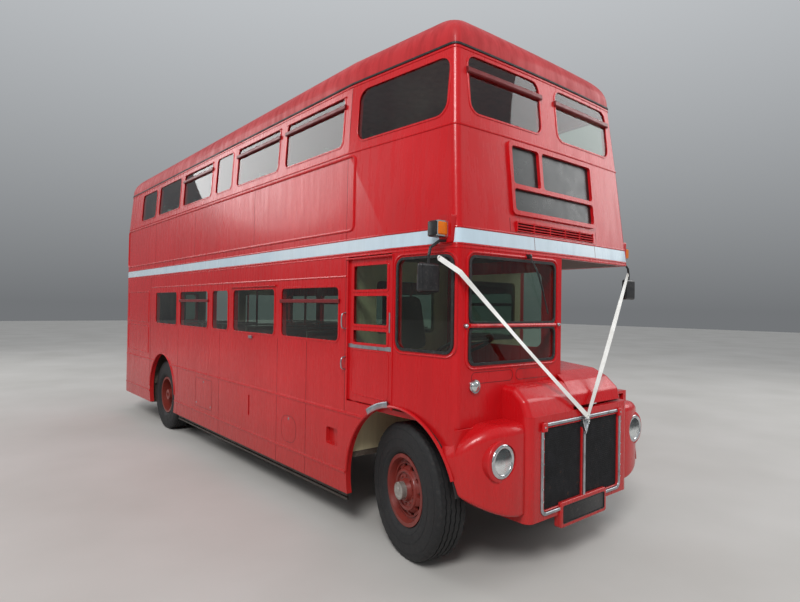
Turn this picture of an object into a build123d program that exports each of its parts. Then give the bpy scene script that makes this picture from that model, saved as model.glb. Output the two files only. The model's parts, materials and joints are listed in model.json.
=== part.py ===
from build123d import *
import math
import os

# Double decker bus with a half cab at the front and an open platform at the rear.
# Millimetres. Z is up from the ground, the front faces -Y and the driver's side is -X.
# While modelling, Y is measured from the front axle; save() moves it to the box centre.

# Overall
length = 9110.0
half_width = 1215.0
height = 4380.0
wheelbase = 5842.0
front_overhang = 857.0
rear_y = length - front_overhang
mirror_reach = 1450.0

# Heights of the decks
skirt_z = 358.0
platform_z = 395.0
platform_thick = 65.0
floor_z = 700.0
floor_thick = 50.0
deck_z = 2390.0
upper_floor_thick = 70.0
roof_rise = 465.0
window_rise = 615.0
gutter_z = height - roof_rise
waist_z = gutter_z - window_rise
upper_floor_z = deck_z + upper_floor_thick

# Walls
lower_wall = 60.0
upper_wall = 50.0
roof_wall = 45.0
glass_thick = 5.0
glass_inset = 8.0
glass_gap = 0.3

# Plan shape of the decks; the sides lean in towards the front corners from the lean lines
waist_half_width = 1207.0
gutter_half_width = 1165.0
front_foot_half = 1170.0
front_waist_half = 1112.0
front_gutter_half = 1058.0
foot_lean_y = 90.0
upper_lean_y = 735.0
front_foot_y = -598.0
front_waist_y = -505.0
front_gutter_y = -440.0
rear_waist_y = rear_y - 12.0
rear_gutter_y = rear_y - 75.0
front_bow = 26000.0
rear_bow = 6000.0
front_corner = 55.0
rear_corner = 430.0
smallest_corner = 12.0

# Pillars between the bays, counted rearwards
pillar_y = [700.0, 1970.0, 3175.0, 3825.0, 5040.0, 6190.0]
pillar_half = 68.0
front_section_y = 735.0
rear_section_y = 6190.0
bulkhead_y = 700.0
bulkhead_thick = 50.0
rear_bulkhead_y = 6395.0
rear_bulkhead_thick = 40.0

# Windows
window_corner = 62.0
lower_sill_z = 1645.0
lower_head_z = 2147.0
upper_sill_z = waist_z + 72.0
upper_head_z = gutter_z - 75.0
front_sill_z = waist_z + 100.0
front_head_z = gutter_z - 50.0
vent_bar = 34.0
front_vent_bar = 44.0
lower_vent_z = 2010.0
upper_vent_z = gutter_z - 180.0
front_vent_z = gutter_z - 185.0

# Cab
cab_inner_x = 35.0
cab_wall = 50.0
cab_floor_z = 1150.0
cab_floor_thick = 40.0
cab_sill_z = 1640.0
cab_head_z = 2340.0
windscreen_sill_z = 1560.0
windscreen_x0 = -1050.0
windscreen_x1 = -60.0
windscreen_bar_z = 1840.0
cab_window_y0 = -540.0
cab_window_y1 = 35.0

# Cab door and its pocket in the first bay
door_y0 = 100.0
door_thick = 34.0
door_travel = 550.0
door_gap = 6.0
pocket_skin = 12.0
pocket_lining = 17.0
door_sill_z = 1155.0
shoe_gap = 0.3

# Wheels
wheel_radius = 527.5
tyre_half_width = 139.0
rim_radius = 262.0
rim_half_width = 112.0
front_track_half = 990.0
kingpin_x = 820.0
kingpin_radius = 18.0
kingpin_fit = 0.05
rest_steer = 11.0
rear_outer_x = 990.0
rear_twin_spacing = 330.0
arch_centre_y = 25.0
arch_centre_z = 525.0
arch_radius = 662.0
rear_arch_y = wheelbase - 80.0
rear_arch_centre_z = 580.0
rear_arch_radius = 605.0
hub_z = wheel_radius


def box(x0, x1, y0, y1, z0, z1):
    """Block between two corners."""
    block = Box(x1 - x0, y1 - y0, z1 - z0)
    return Pos((x0 + x1) / 2, (y0 + y1) / 2, (z0 + z1) / 2) * block


def prism_x(points, x0, x1):
    """Closed (y, z) outline carried from x0 to x1."""
    face = make_face(Polyline(*[(0, y, z) for y, z in points], close=True))
    return Pos(x0, 0, 0) * extrude(face, amount=x1 - x0, dir=(1, 0, 0))


def prism_y(points, y0, y1):
    """Closed (x, z) outline carried from y0 to y1."""
    face = make_face(Polyline(*[(x, 0, z) for x, z in points], close=True))
    return Pos(0, y0, 0) * extrude(face, amount=y1 - y0, dir=(0, 1, 0))


def prism_z(points, z0, z1):
    """Closed (x, y) outline carried from z0 to z1."""
    face = make_face(Polyline(*[(x, y, 0) for x, y in points], close=True))
    return Pos(0, 0, z0) * extrude(face, amount=z1 - z0, dir=(0, 0, 1))


def rod(start, end, radius):
    """Round bar between two points."""
    axis = Vector(*end) - Vector(*start)
    plane = Plane(origin=start, z_dir=axis)
    return plane * Cylinder(radius, axis.length, align=(Align.CENTER, Align.CENTER, Align.MIN))


def tube(points, radius):
    """Round bar through several points, with a ball at each inner corner."""
    bars = [rod(a, b, radius) for a, b in zip(points, points[1:])]
    balls = [Pos(*p) * Sphere(radius) for p in points[1:-1]]
    return fuse(bars + balls)


def fuse(shapes):
    """Union of a list of shapes."""
    first, *rest = shapes
    return first.fuse(*rest) if rest else first


def side_window(y0, y1, z0, z1, x0, x1, corner=window_corner, gap=0.0):
    """Rounded opening seen from the side, cut from x0 to x1."""
    sketch = RectangleRounded(y1 - y0 - 2 * gap, z1 - z0 - 2 * gap, corner)
    plane = Plane(origin=(x0, (y0 + y1) / 2, (z0 + z1) / 2), x_dir=(0, 1, 0), z_dir=(1, 0, 0))
    return extrude(plane * sketch, amount=x1 - x0)


def end_window(x0, x1, z0, z1, y0, y1, corner=window_corner, gap=0.0):
    """Rounded opening seen from the front, cut from y0 to y1."""
    sketch = RectangleRounded(x1 - x0 - 2 * gap, z1 - z0 - 2 * gap, corner)
    plane = Plane(origin=((x0 + x1) / 2, y1, (z0 + z1) / 2), x_dir=(1, 0, 0), z_dir=(0, -1, 0))
    return extrude(plane * sketch, amount=y1 - y0)


def rear_corner_points(half, apex, corner):
    """Arc points of the rear corner on the +X side: end of the side, middle, start of the bow.

    The bow's centre lies on the centre line, the corner's centre lies on the line from it."""
    lean = math.asin((half - corner) / (rear_bow - corner))
    cx = half - corner
    cy = apex - rear_bow + (rear_bow - corner) * math.cos(lean)
    mid = (math.pi / 2 - lean) / 2
    turn = (cx + corner * math.cos(mid), cy + corner * math.sin(mid))
    join = (cx + corner * math.sin(lean), cy + corner * math.cos(lean))
    return (half, cy), turn, join


def front_corner_points(half, lean, lean_y, apex, corner):
    """Arc points of the front corner on the +X side, where a leaning side meets the bowed front.

    The corner touches the side's line and the bow: its centre is found along the side."""
    run = math.hypot(1.0, lean)
    along = Vector(-lean / run, -1.0 / run)
    inward = Vector(-1.0 / run, lean / run)
    bow_centre = Vector(0.0, apex + front_bow)
    start = Vector(half, lean_y) + inward * corner - bow_centre
    back = start.dot(along)
    reach = math.sqrt(back * back - start.dot(start) + (front_bow - corner) ** 2) - back
    centre = start + along * reach
    outward = centre.normalized()
    side_end = bow_centre + centre - inward * corner
    turn = bow_centre + centre + (outward - inward).normalized() * corner
    join = bow_centre + outward * front_bow
    return [(p.X, p.Y) for p in (side_end, turn, join)]


def outline_face(z, half, lean, lean_y, front, rear, front_turn, rear_turn):
    """Level outline: sides that lean in towards the front, bowed ends, rounded corners."""
    f0, f1, f2 = front_corner_points(half, lean, lean_y, front, front_turn)
    r0, r1, r2 = rear_corner_points(half, rear, rear_turn)

    def at(p):
        return (p[0], p[1], z)

    def left(p):
        return (-p[0], p[1], z)

    lean_start = (half, lean_y)
    edges = [
        ThreePointArc(at(f0), at(f1), at(f2)),
        ThreePointArc(at(f2), (0, front, z), left(f2)),
        ThreePointArc(left(f2), left(f1), left(f0)),
        Line(left(f0), left(lean_start)),
        Line(left(lean_start), left(r0)),
        ThreePointArc(left(r0), left(r1), left(r2)),
        ThreePointArc(left(r2), (0, rear, z), at(r2)),
        ThreePointArc(at(r2), at(r1), at(r0)),
        Line(at(r0), at(lean_start)),
        Line(at(lean_start), at(f0)),
    ]
    return make_face(edges)


def plan_face(z, half, front_half, lean_y, front, rear, inset=0.0):
    """Plan outline of a deck at height z, pulled in by inset."""
    lean = (half - front_half) / (lean_y - front)
    turns = [max(turn - inset, smallest_corner) for turn in (front_corner, rear_corner)]
    return outline_face(z, half - inset, lean, lean_y, front + inset, rear - inset, *turns)


# Deck stations: height, half width, half width at the front, start of the lean, front, rear
foot_station = (deck_z, half_width, front_foot_half, foot_lean_y, front_foot_y, rear_y)
deck_stations = [
    foot_station,
    (waist_z, waist_half_width, front_waist_half, upper_lean_y, front_waist_y, rear_waist_y),
    (gutter_z, gutter_half_width, front_gutter_half, upper_lean_y, front_gutter_y, rear_gutter_y),
]


def deck_at(z):
    """Plan sizes of the upper deck at height z, on its straight-sided tapers."""
    low, mid, top = deck_stations
    a, b = (low, mid) if z <= mid[0] else (mid, top)
    t = (z - a[0]) / (b[0] - a[0])
    return [p + t * (q - p) for p, q in zip(a[1:], b[1:])]


def deck_body(inset, z0, z1):
    """Solid body of the upper deck between two heights, pulled in by inset."""
    heights = [z0, waist_z, z1] if z0 < waist_z < z1 else [z0, z1]
    return loft([plan_face(z, *deck_at(z), inset) for z in heights], ruled=True)


def upper_shell(outer, inner):
    """Upper deck wall between two insets."""
    return deck_body(outer, deck_z, gutter_z) - deck_body(inner, deck_z - 5, gutter_z + 5)


def lower_body(inset, z0, z1):
    """Solid body of the lower deck between two heights, pulled in by inset."""
    face = plan_face(0, *foot_station[1:], inset)
    return Pos(0, 0, z0) * extrude(face, amount=z1 - z0, dir=(0, 0, 1))


def lower_shell(outer, inner):
    """Lower deck wall between two insets."""
    return lower_body(outer, skirt_z, deck_z) - lower_body(inner, skirt_z - 5, deck_z + 5)


# Side windows: first pillar, last pillar, has a vent bar
lower_bays = [(0, 1, True), (1, 2, False), (2, 3, False), (3, 4, True), (4, 5, False)]
upper_bays = [(0, 1, True), (1, 2, True), (2, 3, False), (3, 4, True), (4, 5, False)]


def bay_windows(bays, sill, head, bar_z, side, gap=0.0):
    """Window openings of one side, each cut by its vent bar where it has one."""
    x0, x1 = (-half_width - 20, -half_width + 260) if side < 0 else (half_width - 260, half_width + 20)
    cuts = []
    for first, last, bar in bays:
        y0 = pillar_y[first] + pillar_half + (60 if first == 0 else 0)
        y1 = pillar_y[last] - pillar_half
        window = side_window(y0, y1, sill, head, x0, x1, gap=gap)
        if bar:
            window -= box(x0, x1, y0, y1, bar_z - vent_bar / 2 - gap, bar_z + vent_bar / 2 + gap)
        cuts.append(window)
    return fuse(cuts)


corner_window_x = 985.0
corner_window_y0 = -395.0
corner_window_y1 = 640.0
rear_window_y0 = rear_section_y + 70.0
rear_window_y1 = rear_section_y + 880.0
front_window_x0 = 105.0
front_window_x1 = 960.0
door_half = 520.0
door_z0 = waist_z + 30.0
door_z1 = gutter_z - 20.0


def corner_windows(side, gap=0.0):
    """Front and rear corner windows of the upper deck on one side."""
    x0, x1 = (-half_width - 20, -half_width + 260) if side < 0 else (half_width - 260, half_width + 20)
    c0, c1 = sorted((side * (half_width + 20), side * corner_window_x))
    front = side_window(corner_window_y0, corner_window_y1, upper_sill_z, upper_head_z, c0, c1, 110, gap)
    rear = side_window(rear_window_y0, rear_window_y1, upper_sill_z, upper_head_z, x0, x1, 90, gap)
    return front + rear


def front_windows(gap=0.0):
    """Pair of upper front windows, each with a bar across its top third."""
    y0, y1 = front_foot_y - 20, front_foot_y + 330
    right = end_window(-front_window_x1, -front_window_x0, front_sill_z, front_head_z, y0, y1, 90, gap)
    left = end_window(front_window_x0, front_window_x1, front_sill_z, front_head_z, y0, y1, 90, gap)
    reach = front_vent_bar / 2 + gap
    bar = box(-half_width, half_width, y0, y1, front_vent_z - reach, front_vent_z + reach)
    return (right + left) - bar


def upper_openings(gap=0.0):
    """Every window opening of the upper deck."""
    sides = [bay_windows(upper_bays, upper_sill_z, upper_head_z, upper_vent_z, s, gap) for s in (-1, 1)]
    corners = [corner_windows(s, gap) for s in (-1, 1)]
    return fuse(sides + corners + [front_windows(gap)])


def emergency_opening(gap):
    """Opening for the emergency door in the upper rear wall."""
    return end_window(-door_half, door_half, door_z0, door_z1, rear_y - 400, rear_y + 50, 60, gap)


def upper_walls():
    """Upper deck walls, split where the real panels meet."""
    shell = upper_shell(0, upper_wall) - upper_openings() - emergency_opening(0)
    shell -= destination_cut()
    front = shell & box(-1300, 1300, -900, front_section_y, 0, height)
    rear = shell & box(-1300, 1300, rear_section_y, rear_y + 100, 0, height)
    middle = box(-1300, 1300, front_section_y, rear_section_y, 0, height)
    offside = shell & middle & box(-1300, 0, -900, 9000, 0, height)
    nearside = shell & middle & box(0, 1300, -900, 9000, 0, height)
    return front, rear, offside, nearside


def upper_glass():
    """Panes of the upper deck, set in from the outside of the walls."""
    pane = upper_shell(glass_inset, glass_inset + glass_thick)
    return pane & upper_openings(glass_gap)


# Destination box in the upper front: x0, x1, z0, z1 of each sign
sign_top_z = waist_z - 60.0
sign_mid_z = sign_top_z - 305.0
sign_low_z = sign_top_z - 515.0
sign_bar = 35.0
sign_panes = [
    (-540.0, -205.0, sign_mid_z, sign_top_z),
    (-165.0, 560.0, sign_mid_z, sign_top_z),
    (-540.0, 560.0, sign_low_z, sign_mid_z - sign_bar),
]
sign_corner = 30.0
sign_frame_rim = 34.0
sign_frame_proud = 20.0


def sign_openings(y0, y1, gap=0.0):
    """Openings of the three signs."""
    return fuse([end_window(x0, x1, z0, z1, y0, y1, sign_corner, gap) for x0, x1, z0, z1 in sign_panes])


def destination_cut():
    """Openings of the signs and the louvre in the upper front wall."""
    louvre = box(-535, 535, front_foot_y - 20, front_foot_y + 200, 2560, 2640)
    return sign_openings(front_foot_y - 20, front_foot_y + 300) + louvre


def destination_signs():
    """Blank sign panes behind the front wall's openings."""
    pane = deck_body(glass_inset, deck_z, gutter_z) - deck_body(glass_inset + 12, deck_z - 5, gutter_z + 5)
    return pane & sign_openings(front_foot_y - 20, front_foot_y + 300, glass_gap)


def sign_frame():
    """Raised frame round the three signs, following the front wall."""
    x0, x1 = sign_panes[0][0] - sign_frame_rim, sign_panes[1][1] + sign_frame_rim
    z0, z1 = sign_low_z - sign_frame_rim, sign_top_z + sign_frame_rim
    skin = deck_body(-sign_frame_proud, deck_z, gutter_z) - deck_body(5, deck_z - 5, gutter_z + 5)
    outline = end_window(x0, x1, z0, z1, front_foot_y - 50, front_foot_y + 250, sign_corner + 10)
    return (skin & outline) - sign_openings(front_foot_y - 60, front_foot_y + 300)


def louvre():
    """Ventilation louvre under the signs: five sections of three slats."""
    parts = []
    for k in range(6):
        x = -531 + k * 1062 / 5
        parts.append(box(x - 4, x + 4, front_foot_y + 12, front_foot_y + 40, 2560.5, 2639.5))
    for k in range(4):
        z = 2568 + k * 21
        parts.append(box(-534.5, 534.5, front_foot_y + 14, front_foot_y + 38, z - 4, z + 4))
    return fuse(parts)


# Roof cross section: a superellipse from the gutter to the crown, sampled at these angles
roof_power = 2.6
roof_angles = [0.0, 5.0, 10.0, 16.0, 22.0, 29.0, 37.0, 46.0, 55.0, 64.0, 73.0, 80.0, 86.0]
roof_front_slope = 1.1
roof_rear_slope = 1.0
roof_front_growth = 0.6
roof_rear_growth = 0.28
roof_seam = 0.3


def roof_section(angle):
    """Height over the gutter and inset from its outline at one angle of the roof's section."""
    turn = math.radians(angle)
    top = math.sin(math.radians(roof_angles[-1])) ** (2 / roof_power)
    rise = (height - gutter_z) * math.sin(turn) ** (2 / roof_power) / top
    inset = gutter_half_width * (1 - math.cos(turn) ** (2 / roof_power))
    return rise, inset


def roof_contour(angle, pull):
    """Level outline of the roof at one angle, pulled in and down by a wall thickness."""
    rise, inset = roof_section(angle)
    inset += pull * math.cos(math.radians(angle))
    half, front_half, lean_y, front, rear = deck_at(gutter_z)
    lean = (half - front_half) / (lean_y - front)
    half -= inset
    z = gutter_z + rise - pull * math.sin(math.radians(angle))
    turns = (front_corner + roof_front_growth * inset, rear_corner + roof_rear_growth * inset)
    turn_f, turn_r = (min(turn, half * 0.9) for turn in turns)
    shift = inset * roof_front_slope
    lean *= half / gutter_half_width
    return outline_face(z, half, lean, lean_y + shift, front + shift, rear - inset * roof_rear_slope, turn_f, turn_r)


def roof():
    """Roof of the upper deck: a domed shell on the gutter, in its front, middle and rear panels."""
    outer = loft([roof_contour(angle, 0) for angle in roof_angles], ruled=True)
    inner = loft([roof_contour(angle, roof_wall) for angle in roof_angles], ruled=True)
    shell = outer - inner
    seams = [-front_overhang, front_section_y, rear_section_y, rear_y]
    panels = []
    for y0, y1 in zip(seams, seams[1:]):
        panels.append(shell & box(-half_width, half_width, y0, y1 - roof_seam, gutter_z - 5, height + 5))
    return Compound(children=[solid for panel in panels for solid in panel.solids()])


def upper_floor():
    """Floor of the upper deck, with the opening over the staircase."""
    face = plan_face(0, *deck_at(deck_z + upper_floor_thick / 2), upper_wall + 10)
    slab = Pos(0, 0, deck_z) * extrude(face, amount=upper_floor_thick, dir=(0, 0, 1))
    return slab - box(-1300, stair_x1, stair_top_y, rear_y - 300, deck_z - 10, upper_floor_z + 10)


# Staircase
stair_x1 = -540.0
stair_top_y = 6760.0
stair_turn_y = 7420.0
stair_rises = 9
newel_radius = 24.0


def lower_walls():
    """Lower deck walls: offside, nearside and the rear corner with the platform's canopy rail."""
    shell = lower_shell(0, lower_wall)
    for side in (-1, 1):
        shell -= bay_windows(lower_bays, lower_sill_z, lower_head_z, lower_vent_z, side)
    shell -= Pos(0, rear_arch_y, rear_arch_centre_z) * Rot(0, 90, 0) * Cylinder(rear_arch_radius, 3000)
    offside = shell & box(-1300, 0, bulkhead_y, rear_bulkhead_y, 0, deck_z)
    lining = box(
        -half_width + lower_wall, -pocket_inner_x(), bulkhead_y, pocket_end_y() + 30, door_sill_z - 20, deck_z
    )
    lining -= bay_windows(lower_bays, lower_sill_z, lower_head_z, lower_vent_z, -1)
    offside = (offside + lining) - door_pocket() - fuse(side_recesses())
    nearside = shell & box(0, 1300, bulkhead_y, rear_bulkhead_y + rear_bulkhead_thick, 0, deck_z)
    rear = shell & box(-1300, 1300, rear_bulkhead_y, rear_y + 50, 0, deck_z)
    rear -= box(platform_x0, 1300, rear_bulkhead_y - 5, rear_y + 50, 0, canopy_rail_z)
    rear -= box(0, 1300, rear_bulkhead_y - 5, rear_bulkhead_y + rear_bulkhead_thick, 0, deck_z + 5)
    rear -= end_window(-760, 180, lower_sill_z, lower_head_z, rear_y - 500, rear_y + 50)
    return offside, nearside, rear


# Recesses in the lower offside: y0, y1, z0, z1, depth, corner
offside_recesses = [
    (830.0, 1010.0, 730.0, 880.0, 42.0, 22.0),
    (2612.0, 2648.0, 720.0, 950.0, 25.0, 17.0),
]


def side_recesses():
    """Step by the cab door and the narrow slot behind it."""
    cuts = []
    for y0, y1, z0, z1, depth, corner in offside_recesses:
        cuts.append(side_window(y0, y1, z0, z1, -half_width - 5, -half_width + depth, corner))
    return cuts


platform_x0 = 330.0
canopy_rail_z = 2300.0


def pocket_inner_x():
    """Inner face of the thicker first bay, as a distance from the centre line."""
    return half_width - pocket_skin - door_thick - 2 * door_gap - pocket_lining


def pocket_end_y():
    """Rear end of the cab door's pocket."""
    return bulkhead_y + 10 + door_travel + 50


def door_pocket():
    """Space in the wall that the cab door slides into."""
    x0 = -half_width + pocket_skin
    return box(x0, x0 + door_thick + 2 * door_gap, bulkhead_y - 5, pocket_end_y(), door_sill_z, deck_z + 5)


def lower_glass():
    """Panes of the lower deck."""
    pane = lower_shell(4.0, 4.0 + glass_thick)
    cuts = [bay_windows(lower_bays, lower_sill_z, lower_head_z, lower_vent_z, s, glass_gap) for s in (-1, 1)]
    cuts.append(end_window(-760, 180, lower_sill_z, lower_head_z, rear_y - 500, rear_y + 50, gap=glass_gap))
    return pane & fuse(cuts)


def lower_floor():
    """Floor of the lower saloon, notched for the rear wheels."""
    slab = box(-1155, 1155, bulkhead_y, rear_bulkhead_y + rear_bulkhead_thick, floor_z - floor_thick, floor_z)
    for side in (-1, 1):
        x0, x1 = sorted((side * arch_inner_x, side * 1300))
        slab -= box(x0, x1, wheelbase - arch_half_y, wheelbase + arch_half_y, 0, floor_z + 5)
    beams = []
    for y in (1000, 1900, 2800, 3700, 4600):
        beams.append(box(-1100, 1100, y - 30, y + 30, floor_z - floor_thick - 80, floor_z - floor_thick))
    return slab.fuse(*beams)


arch_inner_x = 470.0
arch_half_y = 640.0
arch_top_z = 1160.0
arch_sheet = 12.0


def rear_wheel_arches():
    """Boxes over the rear wheels inside the saloon."""
    parts = []
    for side in (-1, 1):
        x0, x1 = sorted((side * arch_inner_x, side * (half_width - lower_wall)))
        y0, y1 = wheelbase - arch_half_y, rear_bulkhead_y
        outer = box(x0, x1, y0, y1, floor_z - floor_thick, arch_top_z)
        a0, a1 = sorted((side * (arch_inner_x + arch_sheet), side * 1300))
        inner = box(a0, a1, y0 + arch_sheet, y1 - arch_sheet, 0, arch_top_z - arch_sheet)
        parts.append(outer - inner)
    return parts[0].fuse(parts[1])


def platform():
    """Open rear platform with its step edge."""
    outer = lower_body(0, platform_z - platform_thick, platform_z)
    inner = lower_body(lower_wall, platform_z - platform_thick, platform_z)
    start = rear_bulkhead_y + rear_bulkhead_thick
    slab = (outer & box(platform_x0, 1300, start, rear_y + 50, 0, 900))
    slab += inner & box(-1300, platform_x0, start, rear_y + 50, 0, 900)
    return slab


def platform_riser():
    """Panel between the platform and the raised saloon floor, with the gearing of the rear bulkhead."""
    y0 = rear_bulkhead_y + rear_bulkhead_thick
    return box(-1155, 1155, y0, y0 + 15, platform_z, floor_z)


def rear_bulkhead():
    """Partition between the saloon and the platform, with a doorway and two windows."""
    y0 = rear_bulkhead_y
    y1 = y0 + rear_bulkhead_thick
    wall = box(-1155, 1155, y0, y1, floor_z, deck_z)
    wall -= box(-300, 320, y0 - 5, y1 + 5, floor_z - 5, 2230)
    wall -= end_window(-1060, -420, 1500, 2150, y0 - 5, y1 + 5, 40)
    wall -= end_window(440, 1060, 1500, 2150, y0 - 5, y1 + 5, 40)
    return wall


def stair_polygons():
    """Plan outlines of the treads, from the platform up: two straight, three winders, three straight."""
    x_in = stair_x1
    x_out = -1150.0
    y_turn = stair_turn_y
    y_back = 8150.0
    going = 225.0
    treads = [
        [(x_in + 2 * going, y_turn), (x_in + going, y_turn), (x_in + going, y_back), (x_in + 2 * going, y_back)],
        [(x_in + going, y_turn), (x_in, y_turn), (x_in, y_back), (x_in + going, y_back)],
        [(x_in, y_turn), (x_in, y_back), (-900, 8060)],
        [(x_in, y_turn), (-900, 8060), (-1080, 7900), (x_out, 7780)],
        [(x_in, y_turn), (x_out, 7780), (x_out, y_turn)],
    ]
    for k in range(3):
        y1 = y_turn - k * 220.0
        treads.append([(x_in, y1), (x_out, y1), (x_out, y1 - 220.0), (x_in, y1 - 220.0)])
    return treads


def staircase():
    """Winding staircase from the platform to the upper deck, with its inner side panel."""
    rise = (upper_floor_z - platform_z) / stair_rises
    parts = []
    for k, outline in enumerate(stair_polygons()):
        top = platform_z + rise * (k + 1)
        low = max(platform_z, top - rise - 40)
        parts.append(prism_z(outline, low, top))
    parts.append(box(stair_x1, stair_x1 + 20, stair_top_y, stair_turn_y, platform_z, deck_z))
    newel_top = platform_z + rise * (stair_rises - 1)
    parts.append(rod((stair_x1, stair_turn_y, platform_z), (stair_x1, stair_turn_y, newel_top), newel_radius))
    return fuse(parts)


def front_bulkhead():
    """Wall between the cab, the open space over the bonnet and the saloon."""
    y0 = bulkhead_y
    y1 = y0 + bulkhead_thick
    wall = box(-pocket_inner_x(), half_width - lower_wall, y0, y1, floor_z, deck_z)
    wall -= end_window(-900, -180, 1720, 2200, y0 - 5, y1 + 5, 50)
    wall -= end_window(190, 1060, 1620, 2250, y0 - 5, y1 + 5, 50)
    return wall


def bulkhead_glass():
    """Panes in the two bulkheads."""
    y0 = bulkhead_y + 20
    y1 = rear_bulkhead_y + 15
    return fuse([
        end_window(-900, -180, 1720, 2200, y0, y0 + glass_thick, 50, glass_gap),
        end_window(190, 1060, 1620, 2250, y0, y0 + glass_thick, 50, glass_gap),
        end_window(-1060, -420, 1500, 2150, y1, y1 + glass_thick, 40, glass_gap),
        end_window(440, 1060, 1500, 2150, y1, y1 + glass_thick, 40, glass_gap),
    ])


def front_arch():
    """Round space of a front wheel arch, across the whole width."""
    return Pos(0, arch_centre_y, arch_centre_z) * Rot(0, 90, 0) * Cylinder(arch_radius, 3000)


def cab_shell():
    """Body of the driver's cab: side, front and inner walls, with the floor left out."""
    shell = lower_shell(0, cab_wall) & box(-1300, cab_inner_x, -900, bulkhead_y, 0, deck_z)
    shell -= box(-half_width + 80, cab_inner_x + 5, -900, bulkhead_y, 0, cab_floor_z - cab_floor_thick)
    inner_wall = box(cab_inner_x - 40, cab_inner_x, front_foot_y + cab_wall - 5, bulkhead_y, 1110, deck_z)
    shell += inner_wall
    shell -= front_arch()
    shell -= box(-1300, -900, -900, -560, 0, 1000)
    shell -= cab_windows()
    shell -= box(-1300, -half_width + 120, door_y0 - 5, bulkhead_y + 5, door_sill_z, deck_z + 5)
    return shell


def cab_windows(gap=0.0):
    """Openings of the cab: windscreen, side window and the window over the bonnet."""
    screen = end_window(windscreen_x0, windscreen_x1, windscreen_sill_z, cab_head_z, -700, -450, 50, gap)
    bar = box(-1300, 100, -900, -400, windscreen_bar_z - 14 - gap, windscreen_bar_z + 14 + gap)
    side = side_window(cab_window_y0, cab_window_y1, cab_sill_z, cab_head_z, -1300, -1100, 70, gap)
    inner = side_window(-430, 560, cab_sill_z, cab_head_z - 60, cab_inner_x - 100, cab_inner_x + 50, 60, gap)
    return (screen - bar) + side + inner


def cab_glass():
    """Panes of the cab."""
    pane = lower_shell(glass_inset, glass_inset + glass_thick) & box(-1300, cab_inner_x, -900, 90, 1300, deck_z)
    pane &= cab_windows(glass_gap)
    inner = side_window(-430, 560, cab_sill_z, cab_head_z - 60, cab_inner_x - 24, cab_inner_x - 18, 60, glass_gap)
    return pane + inner


def cab_floor():
    """Floor of the cab over the front wheel, with the wall's inner skirt."""
    floor = box(
        -half_width + cab_wall, cab_inner_x - 40, front_foot_y + 70, bulkhead_y,
        cab_floor_z - cab_floor_thick, cab_floor_z,
    )
    return floor & lower_body(cab_wall - 1, 1000, 1300)


def cab_door():
    """Sliding cab door: frame, two window bars and the shoes that ride on the sill."""
    x0 = -half_width + pocket_skin + door_gap
    x1 = x0 + door_thick
    y1 = bulkhead_y + 5
    z0 = door_sill_z + 8
    z1 = deck_z - 8
    door = box(x0, x1, door_y0, y1, z0, z1)
    window = side_window(door_y0 + 60, y1 - 60, cab_sill_z + 10, cab_head_z - 20, x0 - 10, x1 + 10, 50)
    for z in (1790.0, 2080.0):
        window -= box(x0 - 10, x1 + 10, door_y0, y1, z - 14, z + 14)
    door -= window
    shoes = [box(x0 + 8, x1 - 8, y, y + 70, door_sill_z + shoe_gap, z0) for y in (door_y0 + 50, y1 - 120)]
    return door.fuse(*shoes)


def cab_door_glass():
    """Panes of the cab door."""
    x0 = -half_width + pocket_skin + door_gap + 14
    y1 = bulkhead_y + 5
    pane = side_window(
        door_y0 + 60, y1 - 60, cab_sill_z + 10, cab_head_z - 20, x0, x0 + glass_thick, 50, glass_gap
    )
    for z in (1790.0, 2080.0):
        gap = 14 + glass_gap
        pane -= box(x0 - 5, x0 + 15, door_y0, y1, z - gap, z + gap)
    return pane


# Front end
cowl_half = 690.0
cowl_y = -840.0
cowl_back_y = -540.0
radiator_front_y = -770.0
tongue_y = -812.0
grille_half = 555.0
grille_z0 = 450.0
grille_z1 = 1130.0
cowl_top_z = 1185.0
cowl_foot_z = 420.0
cowl_corner = 66.0
grille_corner = 60.0
hump_seam_x = -100.0
hump_seam_slope = 115.0 / 240.0
hump_seam_gap = 3.0
hump_corner = 55.0
hump_sheet = 25.0
tongue_swing_x = 235.0


def radiator_cowl():
    """Painted cowl round the radiator grille, open at the top, with rounded front corners."""
    outer = box(-cowl_half, cowl_half, cowl_y, cowl_back_y, cowl_foot_z, cowl_top_z)
    outer = fillet(outer.edges().filter_by(Axis.Z).group_by(Axis.Y)[0], cowl_corner)
    opening = end_window(-grille_half, grille_half, grille_z0, grille_z1, -900, -700, grille_corner)
    shell = outer - box(-cowl_half + 30, cowl_half - 30, radiator_front_y, cowl_back_y + 5, 400, cowl_top_z + 10)
    shell -= box(hump_seam_x - 40, tongue_swing_x, tongue_y - 10, radiator_front_y + 1, 1135, cowl_top_z + 10)
    return shell - opening - plate_space(0) - lower_body(0, 400, 1300)


def grille_frame():
    """Bright surround of the radiator grille with its centre bar and plain badge."""
    outer = end_window(
        -grille_half + 1, grille_half - 1, grille_z0 + 1, grille_z1 - 1, -852, -800, grille_corner - 1
    )
    inner = end_window(-grille_half + 27, grille_half - 27, grille_z0 + 27, grille_z1 - 27, -860, -790, 40)
    ring = outer - inner
    ring = fillet(ring.faces().sort_by(Axis.Y)[0].edges(), 9)
    bar = box(-14, 14, -852, -800, grille_z0 + 10, grille_z1 - 10)
    badge = prism_y([(-55, grille_z1 - 20), (55, grille_z1 - 20), (0, grille_z1 - 150)], -857, -830)
    frame = ring.fuse(bar, badge)
    return frame - plate_space(0.3)


def radiator():
    """Radiator core behind the grille."""
    return box(-grille_half - 20, grille_half + 20, radiator_front_y, -700, grille_z0 - 10, grille_z1 + 10)


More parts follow.
